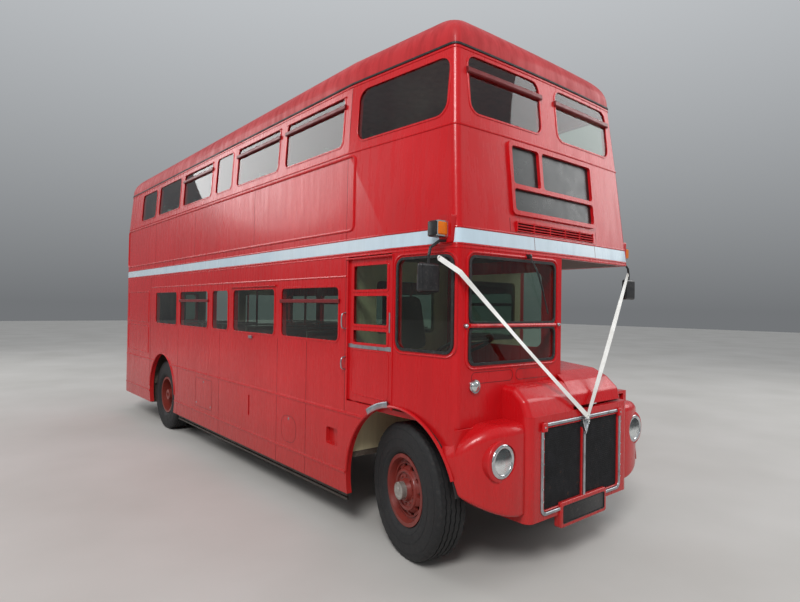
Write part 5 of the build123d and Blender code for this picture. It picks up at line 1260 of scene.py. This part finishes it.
headlamp_rim.piece("headlamp_rims", chrome, smooth=60.0)
flutes.piece("headlamp_fluted_glass", fluted, smooth=80.0)
lamp_screws.piece("headlamp_screws", chrome)

# %% [markdown]
# A black housing with an amber lens stands out from each front corner, level with the pale band.

# %% Indicators
lens, housings = Batch(), Batch()
for side in (-1, 1):
    housings.add(*side_block(side, 1.2035, 1.3065, from_axle(-0.5035), from_axle(-0.4035), 2.4635, 2.5765, 0.010))
    lens.add(*side_block(side, 1.214, 1.296, from_axle(-0.5135), from_axle(-0.4985), 2.475, 2.565, 0.006))
housings.piece("indicator_housings", shell_black)
lens.piece("indicator_lenses", amber)

# %% [markdown]
# Two round red lamps sit one above the other at the rear, on the driver's side. The lens reaches just past
# the CAD lamp, whose box gives the depth.

# %% Rear lamps
rear_lenses, rear_rims = Batch(), Batch()
for z in (0.90, 1.05):
    point, normal = rear([-0.50], [z])
    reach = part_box("lamps")[1][1] - point[0][1]
    rear_lenses.add(*turned([(0.0, 0.0475), (reach - 0.002, 0.0470), (reach + 0.0008, 0.0420),
                             (reach + 0.0016, 0.024), (reach + 0.0018, 0.0)], point[0], normal[0], 40))
    rear_rims.add(*turned([(-0.004, 0.055), (0.010, 0.055), (0.015, 0.051), (0.012, 0.046)], point[0], normal[0], 40))
rear_lenses.piece("rear_lamp_lenses", red_lens, smooth=70.0)
rear_rims.piece("rear_lamp_rims", chrome, smooth=60.0)

# %% [markdown]
# Each mirror's silvered glass faces the rear, a thin block set in its black shell.

# %% Mirror glass
glass_faces = Batch()
for side in (-1, 1):
    glass_faces.add(*side_block(side, 1.275, 1.440, from_axle(-0.4555), from_axle(-0.4535), 2.082, 2.188, 0.0008))
glass_faces.piece("mirror_glass", silvered)

# %% [markdown]
# A satin ribbon is drawn tight from each front corner bracket to the middle of the bonnet.
# It is a thin strip along straight lines, bent at the cab's corner. It has a knot at both ends and in the
# middle, and one small tail.

# %% Ribbon
left_end, right_end = (np.array([x, from_axle(-0.508), 2.310]) for x in (-1.285, 1.285))
middle_end = np.array([0.0, from_axle(-0.876), 1.128])
cab_corner = np.array([-1.182, from_axle(-0.612), 2.212])
ribbon_width, ribbon_thickness, ribbon_count = 0.042, 0.0012, 40


def ribbon_strip(batch, a, b, twist, sag=0.012):
    """Strip from a to b: its width turns slowly by twist, and it hangs sag * sin(pi t) below the line."""
    t = np.linspace(0, 1, ribbon_count)[:, None]
    place = a + (b - a) * t - [0, 0, 1] * (sag * np.sin(np.pi * t))
    along = (b - a) / np.linalg.norm(b - a)
    flat = np.cross(along, [0, -1.0, 0])
    flat /= np.linalg.norm(flat)
    deep = np.cross(flat, along)
    turn = twist * np.sin(np.pi * t)
    across = np.cos(turn) * flat + np.sin(turn) * deep
    normal = np.cross(np.broadcast_to(along, across.shape), across)
    points = np.stack([place + across * u * ribbon_width / 2 + normal * w * ribbon_thickness / 2
                       for u, w in ((-1, -1), (1, -1), (1, 1), (-1, 1))], 1)
    faces = list(grid_faces(ribbon_count, 4, close_columns=True))
    faces.append(np.arange(4)[::-1])
    faces.append(np.arange(4) + (ribbon_count - 1) * 4)
    batch.add(points.reshape(-1, 3), faces)


ribbon = Batch()
ribbon_strip(ribbon, left_end, cab_corner, 0.0, 0.0)
ribbon_strip(ribbon, cab_corner, middle_end, 0.4)
ribbon_strip(ribbon, right_end, middle_end, -0.5)
turn = np.arange(16) * 2 * np.pi / 16
for centre in (left_end, middle_end, right_end):
    for tilt in (0.4, -0.4):
        loop = centre + np.stack([0.012 * np.cos(turn), 0.006 * np.sin(turn) * tilt, 0.014 * np.sin(turn)], -1)
        ribbon.add(*tube(np.vstack([loop, loop[:1]]), 0.0045, 8))
ribbon_strip(ribbon, middle_end, middle_end + [0.014, 0.0, -0.050], 0.6, 0.0)
ribbon.piece("front_ribbon", satin, smooth=60.0)

# %% [markdown]
# A bus tyre has four waved grooves and a blocked shoulder. A displaced texture would be coarse at this size,
# so the tyre is a closed surface of revolution whose tread rows are pushed in where a groove runs.

# %% Tyres
tyre_profile = [(-0.0975, 0.2623), (-0.0975, 0.2800), (-0.118, 0.2960), (-0.133, 0.3180), (-0.1385, 0.345),
                (-0.1390, 0.3720), (-0.1385, 0.420), (-0.1350, 0.4575), (-0.1290, 0.490), (-0.1190, 0.5135),
                (-0.1080, 0.5235), (-0.0990, 0.5275)]
wheel_radius = 0.5275
groove_places = (-0.062, -0.021, 0.021, 0.062)
groove_half, groove_depth, groove_wave, block_cut = 0.0045, 0.010, 0.0035, 0.006
tyre_around = 180


def tread_rows():
    """Axial places and radii across the tread: flat at the wheel's radius, dropped by a groove's depth."""
    rows = [(-0.0985, wheel_radius)]
    for centre in groove_places:
        rows += [(centre - groove_half - 0.001, wheel_radius), (centre - groove_half, wheel_radius - groove_depth),
                 (centre + groove_half, wheel_radius - groove_depth), (centre + groove_half + 0.001, wheel_radius)]
    return rows + [(0.0985, wheel_radius)]


def tyre_mesh(centre, axis):
    """Tyre's closed section turned about its axis: grooves shift by a sine of the turn, and every fourth step
    round the shoulder is cut in."""
    profile = np.array(tyre_profile + tread_rows() + [(-a, r) for a, r in tyre_profile[::-1]])
    u, v = across_axis(axis)
    turn = np.arange(tyre_around) * 2 * np.pi / tyre_around
    along = np.repeat(profile[:, :1], tyre_around, 1)
    radius = np.repeat(profile[:, 1:], tyre_around, 1)
    on_tread = (np.abs(along) < 0.096) & (radius > 0.50)
    along = along + on_tread * groove_wave * np.sin(turn * 45)[None]
    shoulder = (radius > 0.505) & (np.abs(along) > 0.090)
    cut = (np.arange(tyre_around) % 4 == 0)[None]
    radius = radius - shoulder * cut * block_cut
    ring = np.cos(turn)[:, None] * u + np.sin(turn)[:, None] * v
    grid = centre + along[..., None] * axis + radius[..., None] * ring
    return grid.reshape(-1, 3), grid_faces(len(profile), tyre_around, close_rows=True, close_columns=True)


def add_tyre(batch, centre, axis, sign):
    """Tyre with the raised lines moulded on one of its side walls."""
    batch.add(*tyre_mesh(centre, axis))
    for radius, along in ((0.332, 0.1362), (0.395, 0.1392), (0.475, 0.1325)):
        a, h = sign * (along - 0.002), sign * 0.0035
        section = [(a, radius - 0.003), (a + h, radius - 0.0018), (a + h, radius + 0.0018), (a, radius + 0.003)]
        batch.add(*turned(section[::sign], centre, axis, 120, closed=True))


# %% [markdown]
# The pressed steel disc carries ten nuts, a hub cap and rolled edges. Each is turned, so a short list of points
# is enough: (along, radius) from the wheel's middle, or from a nut's foot.

# %% Wheel parts
nut = [(0.0, 0.0155), (0.016, 0.0155), (0.018, 0.0140), (0.018, 0.0085), (0.030, 0.0085), (0.031, 0.0)]
hub_cap = [(0.113, 0.0668), (0.1625, 0.0668), (0.1665, 0.060), (0.1675, 0.046), (0.1655, 0.043),
           (0.1655, 0.026), (0.1685, 0.022), (0.1685, 0.0)]
hub_skirt = [(0.0692, 0.0900), (0.080, 0.0900), (0.0850, 0.0855), (0.100, 0.0745), (0.112, 0.0700),
             (0.112, 0.0668), (0.0692, 0.0668)]
disc_edge = [(0.0690, 0.202), (0.0760, 0.2035), (0.0760, 0.2095), (0.0690, 0.211)]
disc_swell = [(0.0690, 0.124), (0.088, 0.126), (0.101, 0.133), (0.106, 0.144), (0.102, 0.156), (0.088, 0.164),
              (0.0690, 0.167)]
nut_count, nut_along, nut_circle = 10, 0.0695, 0.108

# %% [markdown]
# The front wheels are steered, so their parts are turned about their own axis. The rear wheels are twins.
# Every part rides on its wheel's body and so turns with it.

# %% Wheels in place
steer = math.atan2(0.1908, 0.9816)
side_name = {-1: "offside", 1: "nearside"}
for side in (-1, 1):
    name = side_name[side]
    centre = np.array([side * 0.98687, from_axle(-side * 0.03244), wheel_radius])
    out = side * np.array([math.cos(steer), -math.sin(steer), 0.0])
    front_tyre, rear_tyre = Batch(), Batch()
    add_tyre(front_tyre, centre, out, 1)
    piece = front_tyre.piece("grooved_tyre_front_" + name, tyre, ride="front_wheel_" + name, smooth=40.0)
    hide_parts("front_tyre_" + name)
    for x, sign in ((0.990, 1), (0.660, -1)):
        add_tyre(rear_tyre, np.array([side * x, from_axle(5.842), wheel_radius]), np.array([side, 0.0, 0.0]), sign)
    piece = rear_tyre.piece("grooved_tyres_rear_" + name, tyre, ride="rear_wheels_" + name, smooth=40.0)
    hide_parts("rear_tyres_" + name)

    # Front: ten nuts round the disc, a cap with a worn top, and a rolled edge on the disc
    ahead, upright = across_axis(out)
    nuts, cap, rings = Batch(), Batch(), Batch()
    for k in range(nut_count):
        turn = 2 * np.pi * (k + 0.5) / nut_count
        spoke = math.cos(turn) * ahead + math.sin(turn) * upright
        nuts.add(*turned(nut, centre + out * nut_along + spoke * nut_circle, out, 6))
    nuts.piece("wheel_nuts_front_" + name, wheel_red, ride="front_wheel_" + name, smooth=20.0)
    cap.add(*turned(hub_cap, centre, out, 48))
    cap.add(*turned(hub_skirt, centre, out, 48, closed=True))
    cap.piece("hub_cap_front_" + name, hub_silver, ride="front_wheel_" + name)
    for section in (disc_edge, disc_swell):
        rings.add(*turned(section, centre, out, 72, closed=True))
    rings.piece("wheel_rings_front_" + name, wheel_red, ride="front_wheel_" + name)

# %% [markdown]
# The seats are stuffed and buttoned to steel frames. Each cushion starts as a closed lofted form.
# Blender's Cloth then blows it up a little, with gravity off, and a cap keeps every point near its start.
# The seam channel and the piping come after that. One simulated form of each kind serves every row.

# %% Padded forms
pad_pressure, pad_frames, pad_stations = 4.0, 20, 9
channel_depth, channel_reach, cord_radius = 0.014, 0.016, 0.0045
pads_simulated = {}


def rounded_section(corners, cuts=4):
    """Closed smooth section: each pass cuts corners at a share of every edge, 0.12 at first and then 0.25."""
    points = np.asarray(corners, float)
    for k in range(cuts):
        near = 0.12 if k == 0 else 0.25
        following = np.roll(points, -1, 0)
        pair = np.stack([points * (1 - near) + following * near, points * near + following * (1 - near)], 1)
        points = pair.reshape(-1, 2)
        if k == 0:
            points = spread(points, 0.05)
    return spread(points, 0.03)


def lofted_pad(section, width, stations):
    """Closed form: at s of the width the section shrinks about its middle to 0.45 + 0.55 (1 - 0.92 |2s|^5)^0.2."""
    middle = section.mean(0)
    along = np.concatenate([np.linspace(-0.5, -0.44, 4), np.linspace(-0.44, -0.04, stations)[1:],
                            [-0.015, 0.0, 0.015], np.linspace(0.04, 0.44, stations), np.linspace(0.44, 0.5, 4)[1:]])
    rings = []
    for s in along:
        round_end = max(0.25, (1 - min(1.0, abs(2 * s)) ** 5 * 0.92) ** 0.2)
        scale = 1 - (1 - round_end) * 0.55
        rings.append(np.column_stack([np.full(len(section), s * width), middle + (section - middle) * scale]))
    grid = np.array(rings)
    faces = list(grid_faces(len(grid), len(section), close_columns=True))
    count = grid.shape[0] * grid.shape[1]
    ends = np.array([grid[0].mean(0), grid[-1].mean(0)])
    last = (grid.shape[0] - 1) * grid.shape[1]
    for k in range(len(section)):
        after = (k + 1) % len(section)
        faces.append(np.array([after, k, count]))
        faces.append(np.array([last + k, last + after, count + 1]))
    return np.concatenate([grid.reshape(-1, 3), ends]), faces, along


# %% [markdown]
# A stuffed cushion bulges between its seams. A simulation gives that better than a bevel, but it can run away,
# so each point's movement is capped. A sewn channel and piped edges finish the cushion.

# %% Cloth under pressure


def blown(points, faces, cap):
    """Cloth with inner pressure for some frames; the movement of each point is capped, in metres."""
    mesh = bpy.data.meshes.new("pad_form")
    mesh.from_pydata(points.tolist(), [], [list(map(int, f)) for f in faces])
    form = bpy.data.objects.new("pad_form", mesh)
    bpy.context.scene.collection.objects.link(form)
    cloth = form.modifiers.new("cloth", "CLOTH")
    cloth.settings.quality = 5
    cloth.settings.mass = 0.4
    cloth.settings.use_pressure = True
    cloth.settings.uniform_pressure_force = pad_pressure
    cloth.settings.effector_weights.gravity = 0.0
    cloth.settings.tension_stiffness = 20.0
    cloth.settings.bending_stiffness = 2.0
    scene = bpy.context.scene
    for step in range(1, pad_frames + 1):
        scene.frame_set(step)
    done = form.evaluated_get(bpy.context.evaluated_depsgraph_get())
    moved = np.array([v.co[:] for v in done.data.vertices]) - points
    size = np.linalg.norm(moved, axis=1, keepdims=True)
    bpy.data.objects.remove(form)
    scene.frame_set(1)
    return points + moved * np.minimum(1.0, cap / np.maximum(size, 1e-9))


def channel(points, depth, reach, top):
    """Sewn channel across the middle: points near x = 0 sink by depth * exp(-(x / reach)^2) along top."""
    points = points.copy()
    sink = depth * np.exp(-(points[:, :1] / reach) ** 2)
    facing_top = np.clip((points - points.mean(0)) @ np.asarray(top) * 30, 0, 1)[:, None]
    return points - sink * facing_top * np.asarray(top)


def made_pad(name, corners, width, cap, top, split=True):
    """Simulated form of one cushion, with its channel, as (points, faces, section length, stations)."""
    section = rounded_section(corners)
    points, faces, along = lofted_pad(section, width, pad_stations)
    points = blown(points, faces, cap)
    if split:
        points = channel(points, channel_depth, channel_reach, top)
    pads_simulated[name] = len(faces)
    return points, faces, len(section), along


def piping(batch, points, count, along, pick):
    """Cord along the ring point that lies furthest towards pick, from station to station."""
    rings = points[:count * len(along)].reshape(len(along), count, 3)
    best = int(np.argmax(rings[len(along) // 3, :, 1:] @ np.asarray(pick)))
    batch.add(*tube(rings[1:-1, best], cord_radius, 6))


# %% [markdown]
# The bus has a squab and a back for the double seats, another pair for the benches over the rear wheels, and
# the driver's own pair. Each is simulated once.

# %% The six cushions
seat_width, bench_width, pad_cap, back_cap = 0.826, 1.135, 0.016, 0.0112
upward, backward = (0, 0, 1.0), (0, -1.0, 0)
squab = made_pad("squab", [(-0.408, 0.342), (-0.408, 0.420), (-0.025, 0.402), (0.020, 0.345)], seat_width, pad_cap,
                 upward)
back = made_pad("back", [(-0.004, 0.418), (0.066, 0.978), (0.122, 0.978), (0.048, 0.418)], seat_width, back_cap,
                backward)
bench_squab = made_pad("bench_squab", [(-0.200, 0.008), (-0.200, 0.090), (0.200, 0.090), (0.200, 0.008)],
                       bench_width, pad_cap, upward)
bench_back = made_pad("bench_back", [(-0.036, 0.105), (-0.036, 0.470), (0.036, 0.470), (0.036, 0.105)],
                      bench_width, back_cap, backward)
cab_squab = made_pad("cab_squab", [(-0.222, 0.008), (-0.222, 0.098), (0.222, 0.098), (0.222, 0.008)], 0.455,
                     pad_cap, upward, split=False)
cab_back = made_pad("cab_back", [(0.020, 0.105), (0.118, 0.590), (0.176, 0.590), (0.086, 0.105)], 0.415,
                    back_cap, backward, split=False)
print("pads", pads_simulated)

# %% [markdown]
# The rows' distances behind the front axle come from two lists. Copies share one form: each is moved, and on
# the benches turned to face inwards. The padded pieces stand in for the CAD seats.

# %% Seats in place
lower_rows = [1.43, 2.13, 2.83, 3.53, 4.23, 4.93]
upper_rows = [0.5, 1.15, 1.85, 2.55, 3.25, 3.95, 4.65, 5.35, 6.05]
lower_seat_wall, upper_seat_wall, seat_gap = 1.155, 1.145, 0.019
lower_seat_base, upper_seat_base, lower_bench_base, cab_seat_base = 0.700, 2.460, 1.1603, 1.480
decks = (("lower", lower_rows, lower_seat_wall, lower_seat_base),
         ("upper", upper_rows, upper_seat_wall, upper_seat_base))
moved_axes = np.array([[0.0, 1.0, 0.0], [1.0, 0.0, 0.0], [0.0, 0.0, 1.0]])


def put(batch, cords, pad, origin, pick, turned_pad=0):
    """Copy a pad to its place; turned_pad of -1 or 1 lays its width along the bus, facing inwards."""
    points, faces, count, along = pad
    placed = points.copy()
    if turned_pad:
        placed = placed @ moved_axes
        placed[:, 0] *= turned_pad
        if turned_pad > 0:
            faces = [np.asarray(f)[::-1] for f in faces]
    placed = placed + origin
    batch.add(placed, faces)
    if not turned_pad:
        piping(cords, placed, count, along, pick)


for deck_name, rows, wall_x, base in decks:
    for side in (-1, 1):
        squabs, backs, cords = Batch(), Batch(), Batch()
        for row in rows:
            origin = np.array([side * (wall_x - seat_gap - seat_width / 2), from_axle(row), base])
            put(squabs, cords, squab, origin, (-1.0, 1.2))
            put(backs, cords, back, origin, (-0.4, 1.0))
        for part, batch in (("squabs", squabs), ("backs", backs)):
            piece = batch.piece(deck_name + "_" + part + "_" + side_name[side], seat_cloth, smooth=70.0)
            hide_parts("passenger_seats")
        cords.piece(deck_name + "_piping_" + side_name[side], cab_black, smooth=70.0)
bench_pads, no_cords = Batch(), Batch()
bench_middle = from_axle((5.222 + 6.375) / 2)
for side in (-1, 1):
    for pad, inset in ((bench_squab, 0.222), (bench_back, 0.056)):
        origin = np.array([side * (lower_seat_wall - inset), bench_middle, lower_bench_base])
        put(bench_pads, no_cords, pad, origin, (0, 1), turned_pad=-side)
bench_piece = bench_pads.piece("bench_pads", seat_cloth, smooth=70.0)
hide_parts("passenger_seats")
driver_pads, driver_cords = Batch(), Batch()
for pad, y, pick in ((cab_squab, 0.310, (-1.0, 1.0)), (cab_back, 0.462, (-0.4, 1.0))):
    put(driver_pads, driver_cords, pad, np.array([-0.665, from_axle(y), cab_seat_base]), pick)
driver_piece = driver_pads.piece("driver_pads", cab_cloth, smooth=70.0)
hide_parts("driver_seat")
driver_cords.piece("driver_piping", cab_black, smooth=70.0)

# %% [markdown]
# The open platform has a ribbed floor with a bright step edge, and turned feet under its poles.
# The ribs are thin blocks at an even pitch, low enough to read as a floor covering.

# %% Platform
platform_top = 0.395
slats = Batch()
slat_y0, slat_y1 = from_axle(6.55), from_axle(8.02)
for x in np.arange(-0.30, 1.06, 0.045):
    slats.add(*block(x, x + 0.022, slat_y0, slat_y1, platform_top - 0.001, platform_top + 0.004, 0.0015))
slats.piece("platform_slats", deck)
edge = Batch()
edge.add(*block(1.150, 1.200, from_axle(6.60), from_axle(7.70), platform_top - 0.001, platform_top + 0.006, 0.002))
for x, y, radius in ((1.120, 7.780, 0.019), (0.340, 6.530, 0.017), (-0.480, 7.400, 0.017)):
    edge.add(*turned([(-0.0005, radius + 0.024), (0.005, radius + 0.024), (0.010, radius + 0.012),
                      (0.024, radius + 0.006), (0.030, radius + 0.001)], (x, from_axle(y), platform_top), upward, 32))
for y in (1.430, 2.830, 4.230):
    for side in (-1, 1):
        edge.add(*turned([(0.0, 0.036), (0.005, 0.036), (0.010, 0.026), (0.022, 0.020), (0.026, 0.016)],
                         (side * 0.290, from_axle(y + 0.170), lower_seat_base), upward, 28))
edge.piece("pole_feet_and_step_edge", aluminium)

# %% [markdown]
# The upper deck's emergency door has a level grip on two feet. Its points lie on the bowed rear wall, a little
# out along the normal, and the whole rides on the door.

# %% Emergency door handle
exit_handle = Batch()
for x in (-0.16, 0.16):
    foot, foot_out = rear([x], [3.40])
    exit_handle.add(*turned([(-0.002, 0.020), (0.004, 0.020), (0.007, 0.012)], foot[0], foot_out[0], 20))
grip, grip_out = rear(np.linspace(-0.17, 0.17, 7), np.full(7, 3.40))
exit_handle.add(*tube(grip + grip_out * 0.0065, 0.005, 10))
exit_handle.piece("emergency_door_handle", aluminium, ride="emergency_door")

# %% [markdown]
# A blank plate follows the bow of the rear wall, so it is a thin closed grid rather than a flat block.

# %% Rear plate
rear_plate, rear_plate_rim = Batch(), Batch()
plate_x0, plate_x1, plate_z0, plate_z1 = -0.72, -0.28, 0.70, 0.80
trim(rear_plate_rim, rear, rounded(plate_x0, plate_x1, plate_z0, plate_z1, 0.010), bar_section(0.010, 0.008, 0.002),
     spacing=0.05)
columns, rows = 13, 2
count = columns * rows
u, v = np.meshgrid(np.linspace(plate_x0, plate_x1, columns), [plate_z0, plate_z1], indexing="ij")
point, normal = rear(u.ravel(), v.ravel())
faces = list(grid_faces(columns, rows)[:, ::-1]) + list(grid_faces(columns, rows, start=count))
rim_index = list(range(0, count, 2)) + list(range(count - 1, 0, -2))
for a, b in zip(rim_index, rim_index[1:] + rim_index[:1]):
    faces.append(np.array([a, b, b + count, a + count]))
rear_plate.add(np.concatenate([point + normal * 0.006, point - normal * 0.002]), faces)
rear_plate.piece("blank_rear_plate", plate_black)
rear_plate_rim.piece("rear_plate_rim", rubber)

# %% [markdown]
# Through the glass one sees ribs along both gangways and a bent rail over each seat back. The rails over the foremost
# upper seats are a little narrower at the wall, which leans in there.

# %% Inside the decks
rails, floor_ribs = Batch(), Batch()
for x in np.arange(-0.24, 0.25, 0.03):
    for y0, y1, top in ((0.55, 6.0, upper_seat_base), (1.10, 5.0, lower_seat_base)):
        floor_ribs.add(*block(x, x + 0.014, from_axle(y0), from_axle(y1), top - 0.001, top + 0.003, 0.001))
floor_ribs.piece("gangway_floor_ribs", deck)
rail_height, rail_bend, rail_corner, front_inset = 1.005, 0.10, 0.02, 0.055
for deck_name, rows, wall_x, base in decks:
    for row in rows:
        for side in (-1, 1):
            inner = side * (wall_x - seat_gap - seat_width)
            outer = side * (wall_x - (front_inset if row < 0.7 else 0.0) - seat_gap)
            y, z = from_axle(row + 0.100), base + rail_height
            foot, bend, corner = z - rail_bend, side * 0.07, side * rail_corner
            path = [(outer, y, foot), (outer - corner, y, z - rail_corner), (outer - bend, y, z),
                    (inner + bend, y, z), (inner + corner, y, z - rail_corner), (inner, y, foot)]
            rails.add(*tube(smooth_path(path, 5), 0.011, 8))
rails.piece("seat_top_rails", seat_steel)

# %% [markdown]
# Small domed lamps hang in two rows under the lower deck's ceiling.

# %% Saloon lamps
lamps_inside = Batch()
for y in np.arange(1.4, 5.2, 0.7):
    for side in (-1, 1):
        lamps_inside.add(*turned([(0.0, 0.042), (0.010, 0.042), (0.018, 0.034), (0.030, 0.026), (0.040, 0.012),
                                  (0.043, 0.0)], (side * 0.62, from_axle(y), 2.385), (0, 0, -1.0), 24))
lamps_inside.piece("saloon_lamps", lamp_clear)

# %% [markdown]
# A plate closes the gap between the offside wing and the cab's front, where light would show through.

# %% Wing closing plate
closing = Batch()
closing.add(*block(-1.195, -0.960, from_axle(-0.594), from_axle(-0.586), 0.900, 1.118, 0.002))
closing.piece("wing_closing_plate", red)

# %% [markdown]
# A plain pale floor, slightly clouded, carries the bus's soft shadow as a studio's does.

# %% Floor
floor_mesh = bpy.data.meshes.new("studio_floor")
floor_half = 60.0
floor_mesh.from_pydata([(x * floor_half, y * floor_half, 0) for x, y in ((-1, -1), (1, -1), (1, 1), (-1, 1))], [],
                       [(0, 1, 2, 3)])
floor = bpy.data.objects.new("studio_floor", floor_mesh)
bpy.context.scene.collection.objects.link(floor)
floor_finish, floor_tree, floor_shader, floor_place = start("pale_studio_floor", "")
cloud = add(floor_tree, "TexNoise", {"Vector": floor_place}, {"Scale": 0.5, "Detail": 5.0})
grain = add(floor_tree, "TexNoise", {"Vector": floor_place}, {"Scale": 90.0, "Detail": 4.0})
tone = add(floor_tree, "ValToRGB", {"Fac": cloud}, stops=((0.3, colour("B9B6B1")), (0.7, colour("C6C3BF"))))
bump = add(floor_tree, "Bump", {"Height": grain}, {"Strength": 0.1, "Distance": 0.002})
wire(floor_tree, floor_shader, {"Base Color": tone, "Normal": bump}, {"Roughness": 0.7})
floor_mesh.materials.append(floor_finish)

# %% [markdown]
# Gloss paint and glass show what is around them, so the sky is a soft ramp from grey at the horizon to near
# white above. Coordinates of the world itself are the ray's direction.

# %% Sky
world = bpy.data.worlds.new("studio_sky")
bpy.context.scene.world = world
world.use_nodes = True
sky = world.node_tree
sky_height = add(sky, "SeparateXYZ", {"Vector": add(sky, "TexCoord").outputs["Generated"]}).outputs["Z"]
sky_tone = add(sky, "ValToRGB", {"Fac": sky_height}, stops=((-0.05, colour("8E9194")), (0.5, colour("EEF2F6"))))
wire(sky, sky.nodes["Background"], {"Color": sky_tone}, {"Strength": 0.62})
bpy.context.scene.view_settings.view_transform = "Standard"

# %% [markdown]
# A large soft key stands at the front on the driver's side, a fill on the other side and a rim light behind.
# Discs of 7 m and more give soft edges to the shadows, as an overcast day does.

# %% Lamps
lamp_table = [  # name, place, aimed at, size, power
    ("key_soft", (-13.0, -13.0, 15.0), (0.0, 0.0, 1.5), 7.0, 2700.0),
    ("fill_soft", (13.0, -9.0, 9.0), (0.0, 0.0, 1.5), 9.0, 650.0),
    ("rim_soft", (-9.0, 14.0, 9.0), (0.0, 2.0, 2.0), 8.0, 600.0)]
for lamp_name, lamp_place, aim, size, power in lamp_table:
    lamp_data = bpy.data.lights.new(lamp_name, "AREA")
    lamp_data.shape = "DISK"
    lamp_data.size = size
    lamp_data.energy = power
    lamp = bpy.data.objects.new(lamp_name, lamp_data)
    lamp.location = lamp_place
    lamp.rotation_euler = (Vector(lamp_place) - Vector(aim)).to_track_quat("Z", "Y").to_euler()
    bpy.context.scene.collection.objects.link(lamp)

# %% [markdown]
# The number of pieces in the dressed bus and their faces is printed at the end.

# %% Pieces and faces
print("pieces", len(shapes), "faces", sum(shapes.values()))
